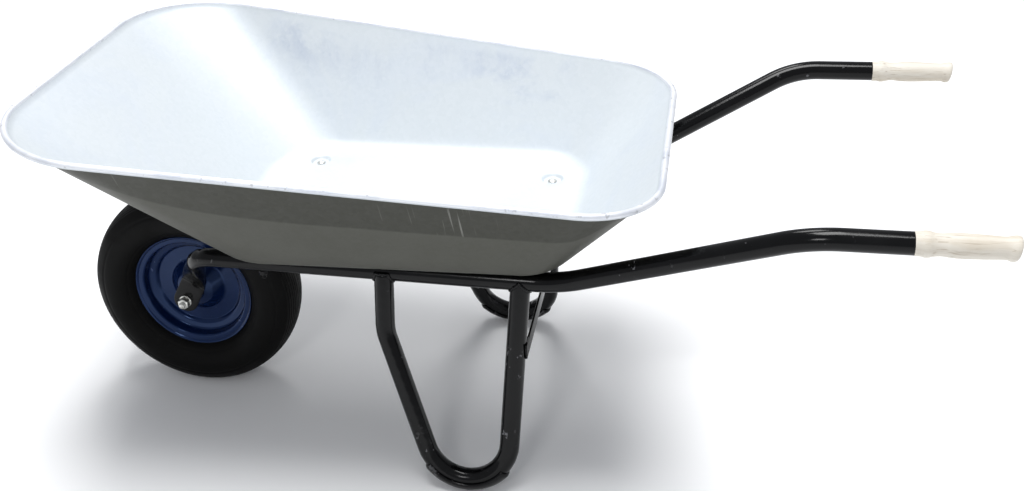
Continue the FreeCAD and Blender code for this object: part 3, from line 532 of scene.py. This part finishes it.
RIM = {"corners": ((0.3763, -0.7236), (0.2817, 0.3054)), "radii": (0.174, 0.128),
       "z_front": 0.6477, "z_rear": 0.5354}
FLOOR = {"corners": ((0.2283, -0.4235), (0.2087, 0.1580)), "radii": (0.120, 0.080),
         "z_front": FLOOR_Z, "z_rear": FLOOR_Z}
COUNTS = {"corner": 22, "side": 44, "end": 26}
FILLET = 0.042
WALL_STEPS, FILLET_STEPS, CURL_STEPS = 30, 10, 14
FRONT_BOLT = (0.1673, -0.3450)
REAR_BOLT = (0.1323, 0.1001)


def rim_height(y):
    """Height of the middle of the rolled rim at a place along the tray."""
    share = (y - RIM["corners"][0][1]) / (RIM["corners"][1][1] - RIM["corners"][0][1])
    return RIM["z_front"] + share * (RIM["z_rear"] - RIM["z_front"])


def tray_rings():
    """Rings of the sheet's middle surface, from the floor's edge up the wall and round the curl."""
    low = outline(**FLOOR, inset=SHEET / 2, counts=COUNTS)
    high = outline(**RIM, inset=CURL - SHEET / 2, counts=COUNTS)
    bead = outline(**RIM, inset=0, counts=COUNTS)
    columns = []
    radius = CURL - SHEET / 2
    rim_normal = Vector((0, RIM["z_front"] - RIM["z_rear"], RIM["corners"][1][1] - RIM["corners"][0][1]))
    rim_normal.normalize()
    for (foot, outward), (top, _), (middle, rim_outward) in zip(low, high, bead):
        wall = (top - foot).normalized()
        inward = -outward
        opening = wall.angle(inward)
        reach = FILLET / math.tan(opening / 2)
        column = [foot + inward * reach]
        column += corner_samples(foot + inward, foot, foot + wall, FILLET, FILLET_STEPS)[1:]
        start = column[-1]
        column += [start.lerp(top, step / WALL_STEPS) for step in range(1, WALL_STEPS)]
        for step in range(CURL_STEPS + 1):
            turn = math.radians(300) * step / CURL_STEPS
            column.append(middle - rim_outward * (radius * math.cos(turn))
                          + rim_normal * (radius * math.sin(turn)))
        columns.append(column)
    return [list(ring) for ring in zip(*columns)]


def dimple_profile():
    """Pressed dimple as (radius, height above the sheet), from the outside in."""
    depth = DIMPLE_DEPTH
    return [(0.0206, 0), (0.0199, -0.0004), (0.0191, -0.0012), (0.0182, -0.0024),
            (0.0166, -depth + 0.0014), (0.0158, -depth + 0.0005), (0.0146, -depth),
            (0.0110, -depth), (0.0048, -depth)]


def tray_floor(ring):
    """Flat floor inside the fillet, with four dimples, as rings bridged to one another."""
    sheet = bmesh.new()
    border = [sheet.verts.new(point) for point in ring]
    loops = [border]
    for x, y in (FRONT_BOLT, REAR_BOLT):
        for side in (RIGHT, LEFT):
            previous = None
            for radius, height in dimple_profile():
                circle = [sheet.verts.new((side * x + radius * math.cos(2 * math.pi * k / 48),
                                           y + radius * math.sin(2 * math.pi * k / 48),
                                           FLOOR_Z + height)) for k in range(48)]
                if previous is None:
                    loops.append(circle)
                else:
                    for k in range(48):
                        sheet.faces.new((previous[k], previous[(k + 1) % 48],
                                         circle[(k + 1) % 48], circle[k]))
                previous = circle
    edges = []
    for loop in loops:
        for k, vertex in enumerate(loop):
            edges.append(sheet.edges.get((vertex, loop[(k + 1) % len(loop)]))
                         or sheet.edges.new((vertex, loop[(k + 1) % len(loop)])))
    bmesh.ops.triangle_fill(sheet, use_beauty=True, edges=edges, normal=UP)
    sheet.verts.ensure_lookup_table()
    sheet.verts.index_update()
    points = [vertex.co.copy() for vertex in sheet.verts]
    faces = [tuple(vertex.index for vertex in face.verts) for face in sheet.faces]
    sheet.free()
    return points, faces


def band_edge(y):
    """How far up the wall the harder-drawn band begins, as a share of the wall's height."""
    toward_front = min(max((-0.193 - y) / 0.42, 0), 1)
    return 0.57 + 0.43 * toward_front ** 2.5 + 0.43 * smooth_step(0.17, 0.30, y)


def make_tray():
    """Tray shell in one pressed sheet, its edge rolled outward."""
    rings = tray_rings()
    shape = joined(tray_floor(rings[0]), skin(rings))
    tray = mesh_piece("tray_shell", *shape, "frame", "galvanised_steel", INSIDE, ["tray"])
    sheet = bmesh.new()
    sheet.from_mesh(tray.data)
    bmesh.ops.remove_doubles(sheet, verts=sheet.verts, dist=1e-5)
    bmesh.ops.recalc_face_normals(sheet, faces=sheet.faces)
    lowest = max(sheet.faces, key=lambda face: face.calc_area())
    if lowest.normal.z < 0:
        bmesh.ops.reverse_faces(sheet, faces=sheet.faces)
    sheet.to_mesh(tray.data)
    sheet.free()
    for polygon in tray.data.polygons:
        polygon.use_smooth = True
    below = tray.data.attributes.new("below_rim", "FLOAT", "POINT")
    share = tray.data.attributes.new("above_band", "FLOAT", "POINT")
    for index, vertex in enumerate(tray.data.vertices):
        drop = rim_height(vertex.co.y) - vertex.co.z
        below.data[index].value = drop
        level = 1 - drop / (rim_height(vertex.co.y) - FLOOR_Z)
        share.data[index].value = level - band_edge(vertex.co.y)
    tray.data.materials.append(OUTSIDE)
    tray.data.materials.append(BEAD)
    solid = tray.modifiers.new("gauge", "SOLIDIFY")
    solid.thickness = SHEET
    solid.offset = 0
    solid.material_offset = 1
    solid.use_even_offset = True
    for polygon in tray.data.polygons:
        middle = polygon.center
        if middle.z > rim_height(middle.y) - BEAD_START:
            polygon.material_index = 2
    return tray


# ------------------------------------------------------------------ frame

def fork_frame():
    """Points and directions of the right-hand fork arm."""
    axle = Vector((TAB_X, AXLE.y, AXLE.z))
    bend = RAIL_BENDS[0]
    lean = Vector((0, bend.y - axle.y, bend.z - axle.z)).normalized()
    tab_top = axle + lean * TAB_RISE
    return axle, bend, lean, tab_top


def make_rail(side, name):
    """One tube from the rounded tip of the fork end, flat at the axle, to the grip."""
    axle, bend, lean, tab_top = fork_frame()
    tip = axle - lean * (TAB_WIDTH / 2)
    points = [tip, tab_top, *RAIL_BENDS]
    spots = even_path(points, (0.03, *BEND_RADII), 0.004)
    tab_length = TAB_RISE + TAB_WIDTH / 2
    arm_length = (tab_top - bend).length
    round_start = tab_length + arm_length - ARM_ROUND
    bend_place = tab_length + arm_length - 0.004

    def section(length, angle):
        cosine, sine = math.cos(angle), math.sin(angle)
        share = smooth_step(tab_length - 0.006, round_start, length)
        width = TAB_WIDTH / 2 + (TUBE - TAB_WIDTH / 2) * share ** 2
        thick = TAB_THICKNESS / 2 + (TUBE - TAB_THICKNESS / 2) * share ** 0.85
        squareness = 0.42 + 0.58 * share
        if length < TAB_WIDTH / 2:
            gap = TAB_WIDTH / 2 - length
            width = math.sqrt(max((TAB_WIDTH / 2) ** 2 - gap ** 2, 1e-8))
        wide = math.copysign(abs(sine) ** squareness, sine) * width
        flat = math.copysign(abs(cosine) ** squareness, cosine) * thick
        near = length - bend_place
        if abs(near) < 0.034:
            inner = max(0, math.cos(angle - FORK_INNER)) ** 2
            fade = 0.5 + 0.5 * math.cos(math.pi * near / 0.034)
            ripple = math.sin(near / 0.034 * math.pi * 3.6)
            factor = 1 - 0.055 * inner * fade * (0.6 + ripple)
            wide, flat = wide * factor, flat * factor
        return flat, wide

    shape = swept(spots, section, 56)
    shape = shape if side == RIGHT else mirrored(shape)
    return mesh_piece(name + "_tube", *shape, "frame", "black_paint", PAINT, [name])


FORK_INNER = math.radians(-90)


LEG_SPLAY = math.radians(12.3)
FOOT_RADIUS = 0.071
LEG_BEND_RADIUS = 0.085
LEG_FRONT_Y, LEG_FOOT_Y, LEG_REAR_Y = -0.1310, 0.0026, 0.0921
LEG_BEND_DROP = 0.0991
LEG_REAR_X = 0.1759
RAIL_Z = 0.363
FOOT_PLATE = 0.004


def tangent_corner(front, rear, centre, radius):
    """Corner of the lines from two points that are both tangent to a circle below them."""
    lines = []
    for point, side in ((front, -1), (rear, 1)):
        gap = centre - point
        swing = side * math.asin(radius / gap.length)
        lines.append((point, Matrix.Rotation(swing, 3, "Z") @ gap))
    (first, heading), (second, other) = lines
    cross = heading.x * other.y - heading.y * other.x
    gap = second - first
    return first + heading * ((gap.x * other.y - gap.y * other.x) / cross)


def stood_up(flat):
    """Point on the right-hand leg's leaning plane, from (along, slope length) on it."""
    drop = -flat.y * math.cos(LEG_SPLAY)
    return Vector((LEG_REAR_X + drop * math.tan(LEG_SPLAY), flat.x, RAIL_Z - drop))


def foot_centre():
    """Centre of the leg's lowest bend, on the leaning plane."""
    slant = 1 / math.cos(LEG_SPLAY)
    return Vector((LEG_FOOT_Y, (FOOT_PLATE + TUBE - RAIL_Z) * slant + FOOT_RADIUS, 0))


def leg_corners():
    """Right-hand leg's corners: front top, front bend, foot and rear top."""
    slant = 1 / math.cos(LEG_SPLAY)
    front = Vector((LEG_FRONT_Y, 0, 0))
    bend = Vector((LEG_FRONT_Y, -LEG_BEND_DROP * slant, 0))
    rear = Vector((LEG_REAR_Y, 0, 0))
    corner = tangent_corner(bend, rear, foot_centre(), FOOT_RADIUS)
    return [stood_up(flat) for flat in (front, bend, corner, rear)]


def make_leg(side, name):
    """One bent tube from the rail down round the foot and up again."""
    spots = even_path(leg_corners(), (LEG_BEND_RADIUS, FOOT_RADIUS), 0.005)

    def section(length, angle):
        return TUBE - 0.00015 * math.sin(length * 300 + 3 * angle) * 0.3

    shape = swept(spots, section, 44)
    shape = shape if side == RIGHT else mirrored(shape)
    return mesh_piece(name + "_tube", *shape, "frame", "black_paint", SCUFFED, [name])


def make_foot_plate(side, name):
    """Curved wear plate saddled under the foot bend."""
    centre = stood_up(foot_centre())
    side_way = Vector((math.cos(LEG_SPLAY), 0, math.sin(LEG_SPLAY)))
    down = Vector((math.sin(LEG_SPLAY), 0, -math.cos(LEG_SPLAY)))
    forward = Vector((0, 1, 0))
    wrap, turn = math.radians(78), math.radians(52)
    rings, steps = [], 40
    for step in range(steps + 1):
        share = 2 * step / steps - 1
        angle = turn * share
        heading = down * math.cos(angle) + forward * math.sin(angle)
        spot = centre + heading * FOOT_RADIUS
        end = 1 - max(0, (abs(share) - 0.965) / 0.035) ** 2
        outer = TUBE + 0.0001 + (FOOT_PLATE - 0.0002) * (0.55 + 0.45 * end)
        ring = []
        for index in range(25):
            around = wrap * (2 * index / 24 - 1)
            edge = 1 - max(0, (abs(around) / wrap - 0.95) / 0.05) ** 2 * 0.4
            radius = TUBE + (outer - TUBE) * edge
            ring.append(spot + heading * (radius * math.cos(around))
                        + side_way * (radius * math.sin(around)))
        for index in range(25):
            around = wrap * (1 - 2 * index / 24)
            ring.append(spot + heading * (TUBE * math.cos(around))
                        + side_way * (TUBE * math.sin(around)))
        rings.append(ring)
    shape = skin(rings, True, False, True, True)
    shape = shape if side == RIGHT else mirrored(shape)
    return mesh_piece(name + "_shoe", *shape, "frame", "black_paint", WORN, [name])


def rounded_bar(low, high, radius):
    """Bar between two corners, its long edges along X rounded."""
    rings = []
    for x, shrink in ((low.x, radius * 0.4), (low.x + radius * 0.5, 0), (high.x - radius * 0.5, 0),
                      (high.x, radius * 0.4)):
        ring = []
        for y, z, start in ((high.y, high.z, 0), (low.y, high.z, 90), (low.y, low.z, 180),
                            (high.y, low.z, 270)):
            centre_y = y - math.copysign(radius, y - (low.y + high.y) / 2)
            centre_z = z - math.copysign(radius, z - (low.z + high.z) / 2)
            for step in range(5):
                angle = math.radians(start + 22.5 * step)
                ring.append(Vector((x, centre_y + (radius - shrink) * math.cos(angle),
                                    centre_z + (radius - shrink) * math.sin(angle))))
        rings.append(ring)
    return skin(rings, True, False, True, True)


def make_brace():
    """Flat bar between the rear tubes of the legs."""
    low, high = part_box("leg_cross_brace")
    inset = 0.0002
    low, high = Vector(low) + Vector((1, 1, 1)) * inset, Vector(high) - Vector((1, 1, 1)) * inset
    divided = rounded_bar(low, high, 0.0012)
    return mesh_piece("leg_brace_bar", *divided, "frame", "black_paint", SCUFFED, ["leg_cross_brace"])


def crossing_line(start, way, radius, other, other_way, other_radius, count=72):
    """Where the surface of one round tube meets another's, as a closed line of points."""
    side = way.cross(other_way).normalized()
    fore = side.cross(way).normalized()
    spots = []
    for index in range(count):
        angle = 2 * math.pi * index / count
        base = start + side * (radius * math.cos(angle)) + fore * (radius * math.sin(angle)) - other
        flat_base = base - other_way * base.dot(other_way)
        flat_way = way - other_way * way.dot(other_way)
        a = flat_way.dot(flat_way)
        b = flat_base.dot(flat_way)
        c = flat_base.dot(flat_base) - other_radius ** 2
        root = math.sqrt(max(b * b - a * c, 0))
        spots.append(base + other + way * ((-b + root) / a))
    return spots


def weld(spots, radius, seed, closed=True):
    """Rippled bead of weld along a line."""
    source = random.Random(seed)
    ripple = [source.uniform(0.82, 1.12) for _ in spots]
    spots = resampled(spots + spots[:1], 0.0009)[:-1] if closed else resampled(spots, 0.0009)

    def section(length, angle):
        wave = 0.90 + 0.16 * abs(math.sin(length * math.pi / 0.0034))
        return radius * wave * ripple[int(length / 0.004) % len(ripple)]

    return swept(spots, section, 12, Vector((0.31, 0.87, 0.38)), closed)


def make_welds():
    """Weld beads at the legs, the crossmember and the brace."""
    rail_way = (RAIL_BENDS[1] - RAIL_BENDS[0]).normalized()
    corners = leg_corners()
    beads = []
    for top, below, seed in ((corners[0], corners[1], 3), (corners[3], corners[2], 5)):
        way = (below - top).normalized()
        beads.append(weld(crossing_line(top, way, TUBE, RAIL_BENDS[0], rail_way, TUBE), 0.0030, seed))
    low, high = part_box("rear_crossmember")
    middle = Vector((0, (low[1] + high[1]) / 2, RAIL_Z))
    beads.append(weld(crossing_line(middle, -ACROSS, TUBE, RAIL_BENDS[0], rail_way, TUBE), 0.0028, 7))
    brace_low, brace_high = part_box("leg_cross_brace")
    way = (corners[2] - corners[3]).normalized()
    for height in (brace_low[2], brace_high[2]):
        spot = corners[3] + way * ((height - corners[3].z) / way.z)
        edge = Vector((spot.x - TUBE * 0.35, brace_low[1] + 0.001, height))
        beads.append(weld([edge + ACROSS * (0.004 * k - 0.008) for k in range(5)], 0.0022, 11, False))
    right = joined(*beads)
    both = joined(right, mirrored(right))
    return mesh_piece("weld_beads", *both, "frame", "black_paint", PAINT)


# ------------------------------------------------------------------ grips

GRIP_PROFILE = [
    (-0.0008, 0.0150), (0.0, 0.01635), (0.0020, 0.01665), (0.0070, 0.01675), (0.0095, 0.0172),
    (0.0120, 0.0179), (0.0150, 0.0180), (0.0180, 0.0176), (0.0215, 0.0166), (0.0265, 0.0156),
    (0.0320, 0.0152), (0.0375, 0.0156), (0.0440, 0.0164), (0.0540, 0.0169), (0.0680, 0.0167),
    (0.0820, 0.0162), (0.0960, 0.0155), (0.1050, 0.01515), (0.1105, 0.0154), (0.1150, 0.0164),
    (0.1185, 0.0171), (0.1215, 0.0173), (0.1240, 0.0168), (0.1256, 0.0154), (0.1260, 0.0120),
    (0.1260, 0.0060), (0.1260, 0.0001)]
GRIP_LENGTH = GRIP_PROFILE[-1][0]


def smooth_profile(corners, count=5):
    """Catmull-Rom curve through (along, radius) corners."""
    spots = []
    padded = [corners[0], *corners, corners[-1]]
    for index in range(1, len(padded) - 2):
        p0, p1, p2, p3 = (Vector((*padded[index + k], 0)) for k in (-1, 0, 1, 2))
        for step in range(count):
            t = step / count
            spot = 0.5 * ((2 * p1) + (p2 - p0) * t + (2 * p0 - 5 * p1 + 4 * p2 - p3) * t ** 2
                          + (3 * p1 - p0 - 3 * p2 + p3) * t ** 3)
            spots.append((spot.x, spot.y))
    spots.append(corners[-1])
    return spots


def make_grip(side, name):
    """Turned wooden grip: ring swell, waist, long barrel and flared end."""
    tube_end = RAIL_BENDS[3].y - 0.002
    centre = Vector((side * RAIL_BENDS[3].x, tube_end, RAIL_BENDS[3].z))
    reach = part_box(name)[1][1] - tube_end
    profile = [(min(along, GRIP_LENGTH) * reach / GRIP_LENGTH, radius)
               for along, radius in smooth_profile(GRIP_PROFILE)]
    rings = []
    source = random.Random(21 + side)
    shift = source.uniform(0, 100)
    for along, radius in profile:
        ring = []
        for index in range(72):
            angle = 2 * math.pi * index / 72
            flute = noise.noise(Vector((2.6 * math.cos(angle), 2.6 * math.sin(angle), shift + along * 4)))
            wobble = radius * (1 + 0.010 * flute) if radius > 0.002 else radius
            skew = 0.0030 * (math.cos(angle) - 1) * radius / 0.017 * smooth_step(0.105, GRIP_LENGTH, along)
            ring.append(centre + Vector((wobble * math.sin(angle), along + skew,
                                         wobble * math.cos(angle))))
        rings.append(ring)
    shape = skin(rings, True, False, True, True)
    return mesh_piece(name + "_wood", *shape, "frame", "wood", WOOD, [name])


# ------------------------------------------------------------------ wheel

def arc_through(first, middle, last, count):
    """Points on the arc through three (along, radius) places, ends included."""
    (ax, ay), (bx, by), (cx, cy) = first, middle, last
    d = 2 * (ax * (by - cy) + bx * (cy - ay) + cx * (ay - by))
    ux = ((ax * ax + ay * ay) * (by - cy) + (bx * bx + by * by) * (cy - ay)
          + (cx * cx + cy * cy) * (ay - by)) / d
    uy = ((ax * ax + ay * ay) * (cx - bx) + (bx * bx + by * by) * (ax - cx)
          + (cx * cx + cy * cy) * (bx - ax)) / d
    radius = math.hypot(ax - ux, ay - uy)
    start, end = (math.atan2(y - uy, x - ux) for x, y in (first, last))
    while end - start > math.pi:
        end -= 2 * math.pi
    while end - start < -math.pi:
        end += 2 * math.pi
    return [(ux + radius * math.cos(start + (end - start) * k / count),
             uy + radius * math.sin(start + (end - start) * k / count)) for k in range(count + 1)]


TREAD_PITCH = 0.0062
TREAD_DEPTH = 0.0021


def tyre_profile():
    """Closed half-section of the tyre, mirrored: sidewall with rings, ribbed tread, inside."""
    wall = arc_through((0.0301, 0.1170), (0.0540, 0.1580), (0.0400, 0.1910), 44)
    outside = []
    for along, radius in wall:
        ring = 0.0007 * (smooth_step(0.1265, 0.1275, radius) - smooth_step(0.1290, 0.1300, radius))
        ring += 0.0009 * (smooth_step(0.1705, 0.1712, radius) - smooth_step(0.1735, 0.1742, radius))
        outside.append((along - ring, radius))
    crown = arc_through((0.0400, 0.1910), (0.0, 0.1999), (-0.0400, 0.1910), 220)
    tread = []
    for along, radius in crown:
        place = abs(along) % TREAD_PITCH / TREAD_PITCH
        groove = smooth_step(0.62, 0.72, place) - smooth_step(0.88, 0.98, place)
        fade = 1 - smooth_step(0.0388, 0.0400, abs(along))
        tread.append((along, radius - TREAD_DEPTH * groove * fade))
    left = [(-along, radius) for along, radius in reversed(outside)]
    inside = [(-0.0262, 0.1042), (-0.0150, 0.1038), (-0.0200, 0.1180), (-0.0460, 0.1580),
              (-0.0330, 0.1830), (0, 0.1920), (0.0330, 0.1830), (0.0460, 0.1580), (0.0200, 0.1180),
              (0.0150, 0.1038), (0.0262, 0.1042)]
    return outside + tread[1:-1] + left + inside


def make_tyre():
    """Pneumatic tyre with fine circumferential ribs."""
    shape = lathed(tyre_profile(), AXLE, "X", 144)
    return mesh_piece("tyre_casing", *shape, "wheel", "tyre_rubber", RUBBER, ["tyre"])


RIM_LINE = [(0.0310, 0.1156), (0.0276, 0.1119), (0.0267, 0.1016), (0.0093, 0.0996),
            (0.0062, 0.0858), (0.00075, 0.0812), (0.00075, 0.0534), (0.0205, 0.0348),
            (0.0248, 0.01975), (0.0325, 0.01975)]
RIM_RADII = (0.003, 0.004, 0.006, 0.008, 0.003, 0.008, 0.008, 0.003)
RIM_GAUGE = 0.0015


def rim_profile():
    """Closed section of one pressed rim half."""
    flat = [Vector((a, b, 0)) for a, b in RIM_LINE]
    middle = [flat[0]]
    for before, corner, after, radius in zip(flat, flat[1:], flat[2:], RIM_RADII):
        middle += corner_samples(before, corner, after, radius, 8)
    middle.append(flat[-1])
    sides = {1: [], -1: []}
    for spot, way in zip(middle, tangents(middle)):
        across = Vector((-way.y, way.x, 0)) * RIM_GAUGE / 2
        for sign, row in sides.items():
            row.append((spot.x + sign * across.x, spot.y + sign * across.y))
    lip = flat[0] + Vector((0.0002, 0.0008, 0))
    return sides[1] + sides[-1][::-1] + [(lip.x, lip.y)]


def make_rims():
    """Two pressed rim halves, joined back to back."""
    right = lathed(rim_profile(), Vector((0, 0, 0)), "X", 128)
    for side, name in ((RIGHT, "right_rim_half"), (LEFT, "left_rim_half")):
        points, faces = right if side == RIGHT else mirrored(right)
        placed = [point + AXLE for point in points]
        mesh_piece(name + "_pressing", placed, faces, "wheel", "blue_paint", BLUE, [name])


# ------------------------------------------------------------------ fasteners

def hexagon_rings(across, start, end, axis_centre, axis="X"):
    """Hexagon with both corners chamfered, between two places along the axis."""
    rings = []
    way = 1 if end > start else -1
    length = abs(end - start)
    flat_circle = across / 2 * 0.97
    for share in (0, 0.0005, 0.0010, 0.0015, length / 2, length - 0.0015, length - 0.0010,
                  length - 0.0005, length):
        depth = min(share, length - share)
        limit = flat_circle + depth * 1.75
        ring = []
        for index in range(72):
            angle = 2 * math.pi * index / 72
            corner = across / 2 / math.cos((angle + math.pi / 6) % (math.pi / 3) - math.pi / 6)
            radius = min(corner, limit)
            offset = ((start + way * share, radius * math.cos(angle), radius * math.sin(angle)) if axis == "X"
                      else (radius * math.cos(angle), radius * math.sin(angle), start + way * share))
            ring.append(axis_centre + Vector(offset))
        rings.append(ring)
    return skin(rings, True, False, True, True)


def threaded(radius, pitch, start, end, centre, axis="X", tip=0.0015):
    """Screw thread between two places along the axis, chamfered at the far end."""
    rings = []
    count = int(abs(end - start) / pitch * 6)
    for step in range(count + 1):
        along = start + (end - start) * step / count
        left_over = abs(end - along)
        limit = radius - max(0, tip - left_over)
        ring = []
        for index in range(36):
            angle = 2 * math.pi * index / 36
            turn = (abs(along - start) / pitch - index / 36) % 1
            cut = 0.55 * pitch * (1 - abs(2 * turn - 1))
            local = min(radius - cut, limit)
            offset = ((along, local * math.cos(angle), local * math.sin(angle)) if axis == "X"
                      else (local * math.cos(angle), local * math.sin(angle), along))
            ring.append(centre + Vector(offset))
        rings.append(ring)
    return skin(rings, True, False, True, True)


def ring_washer(inner, outer, start, end, centre, axis="X"):
    """Flat washer with softened edges."""
    soft = 0.0003
    low, high = min(start, end), max(start, end)
    profile = [(low, inner), (low, outer - soft), (low + soft, outer), (high - soft, outer),
               (high, outer - soft), (high, inner)]
    return lathed(profile, centre, axis, 64)


def make_axle_hardware():
    """Axle bolt with its threaded end, nut and washers."""
    low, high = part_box("axle_bolt")
    nut_low, nut_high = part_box("axle_nut")
    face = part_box("axle_washers")[1][0]
    shank = lathed([(-face, 0.0001), (-face, 0.00594), (0.052, 0.00594), (0.0522, 0.0054),
                    (0.0522, 0.0001)], AXLE, "X", 40)
    thread = threaded(0.00594, 0.00175, 0.052, high[0], AXLE)
    head = hexagon_rings(0.019, -face, low[0], AXLE)
    mesh_piece("axle_bolt_body", *joined(shank, thread, head), "frame", "zinc_plate", ZINC, ["axle_bolt"])
    nut = hexagon_rings(0.019, nut_low[0], nut_high[0], AXLE)
    mesh_piece("axle_nut_body", *nut, "frame", "zinc_plate", ZINC, ["axle_nut"])
    inner_face = TAB_X + TAB_THICKNESS / 2
    rings = joined(ring_washer(0.0063, 0.0119, inner_face, face, AXLE),
                   ring_washer(0.0063, 0.0119, -face, -inner_face, AXLE))
    mesh_piece("axle_washer_pair", *rings, "frame", "zinc_plate", ZINC, ["axle_washers"])


def make_tray_hardware():
    """Four round-headed tray bolts, each with its washer and nut under the frame."""
    low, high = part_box("tray_bolts")
    washer_low, washer_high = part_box("tray_washers")
    nut_low, nut_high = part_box("tray_nuts")
    under_head = high[2] - 0.0039
    dome = [(under_head, 0.0001), (under_head, 0.0078)]
    for step in range(10):
        angle = math.pi / 2 * step / 9
        dome.append((under_head + 0.0005 + 0.0033 * math.sin(angle), 0.0080 * math.cos(angle) + 0.00005))
    bolts, washers, nuts = [], [], []
    for x, y in (FRONT_BOLT, REAR_BOLT):
        for side in (RIGHT, LEFT):
            spot = Vector((side * x, y, 0))
            bolts.append(lathed(dome, spot, "Z", 40))
            bolts.append(threaded(0.00392, 0.00125, under_head, low[2] + 0.0001, spot, "Z", 0.001))
            washers.append(ring_washer(0.0042, 0.0079, washer_low[2], washer_high[2], spot, "Z"))
            nuts.append(hexagon_rings(0.0130, nut_high[2], nut_low[2], spot, "Z"))
    bolt_set = mesh_piece("tray_bolt_set", *joined(*bolts), "frame", "zinc_plate", ZINC, ["tray_bolts"])
    # Below the washer, the bolt ends, washers and nuts take the dark worn paint instead of zinc: painted
    # shade for the dark spot under the rail.
    bolt_set.data.materials.append(WORN)
    for polygon in bolt_set.data.polygons:
        polygon.material_index = int(polygon.center.z < washer_high[2])
    mesh_piece("tray_washer_set", *joined(*washers), "frame", "zinc_plate", WORN, ["tray_washers"])
    mesh_piece("tray_nut_set", *joined(*nuts), "frame", "zinc_plate", WORN, ["tray_nuts"])


# ------------------------------------------------------------------ setting

def finish_lights():
    """Large soft lights and an even pale surround."""
    world = bpy.data.worlds.new("surround")
    world.use_nodes = True
    world.node_tree.nodes["Background"].inputs["Color"].default_value = (0.93, 0.95, 1.0, 1)
    world.node_tree.nodes["Background"].inputs["Strength"].default_value = 0.50
    bpy.context.scene.world = world
    for name, place, size, power in (("overhead", (0.3, 0.0, 6.0), 2.6, 320),
                                     ("key", (-2.6, -0.7, 4.4), 1.5, 60),
                                     ("fill", (3.2, -0.4, 2.2), 0.6, 16)):
        data = bpy.data.lights.new(name, "AREA")
        data.size = size
        data.energy = power
        lamp = bpy.data.objects.new(name, data)
        aim = Vector((0, -0.1, 0.35)) - Vector(place)
        lamp.matrix_world = Matrix.Translation(place) @ aim.to_track_quat("-Z", "Y").to_matrix().to_4x4()
        bpy.context.scene.collection.objects.link(lamp)


def make_floor():
    """Plain pale floor."""
    reach = 6
    mesh = bpy.data.meshes.new("floor")
    mesh.from_pydata([(-reach, -reach, 0), (reach, -reach, 0), (reach, reach, 0), (-reach, reach, 0)],
                     [], [(0, 1, 2, 3)])
    floor = bpy.data.objects.new("floor", mesh)
    finish = Finish("floor", (0.93, 0.935, 0.94), 0.8)
    mesh.materials.append(finish.material)
    bpy.context.scene.collection.objects.link(floor)


def make_camera():
    """Camera on the right-hand side, a little behind and above."""
    azimuth, elevation, roll = math.radians(107.37), math.radians(26.07), math.radians(-5.5)
    distance, target = 2.038, Vector((0, 0.392 + AXLE.y, 0.467))
    back = Vector((math.sin(azimuth) * math.cos(elevation),
                   -math.cos(azimuth) * math.cos(elevation), math.sin(elevation)))
    right = Vector((math.cos(azimuth), math.sin(azimuth), 0))
    up = back.cross(right)
    x_axis = right * math.cos(roll) + up * math.sin(roll)
    y_axis = up * math.cos(roll) - right * math.sin(roll)
    data = bpy.data.cameras.new("camera")
    data.sensor_width = 36
    data.lens = 1190.25 / 1024 * 36
    data.shift_x = (512 - 385.85) / 1024
    data.shift_y = (164.84 - 245.5) / 1024
    camera = bpy.data.objects.new("camera", data)
    rotation = Matrix((x_axis, y_axis, back)).transposed().to_4x4()
    camera.matrix_world = Matrix.Translation(target + back * distance) @ rotation
    bpy.context.scene.collection.objects.link(camera)
    bpy.context.scene.camera = camera


SLOT_FINISHES = {"galvanised_steel": OUTSIDE, "black_paint": PAINT, "blue_paint": BLUE,
                 "tyre_rubber": RUBBER, "tube_rubber": TUBE_RUBBER, "wood": WOOD,
                 "zinc_plate": ZINC, "bearing_steel": STEEL, "brass": BRASS,
                 "black_plastic": PLASTIC}


def finish_nodes():
    """Give every carried-over node its finish."""
    for thing in NODES.values():
        for index, material in enumerate(thing.data.materials):
            stem = material.name.split(".")[0]
            if stem in SLOT_FINISHES:
                thing.data.materials[index] = SLOT_FINISHES[stem]


bpy.context.scene.view_settings.view_transform = "Standard"
make_camera()
make_floor()
finish_lights()
finish_nodes()
make_tray()
make_rail(RIGHT, "right_rail")
make_rail(LEFT, "left_rail")
for side, word in ((RIGHT, "right"), (LEFT, "left")):
    make_leg(side, word + "_leg")
    make_foot_plate(side, word + "_foot_plate")
    make_grip(side, word + "_grip")
make_brace()
make_welds()
make_tyre()
make_rims()
make_axle_hardware()
make_tray_hardware()
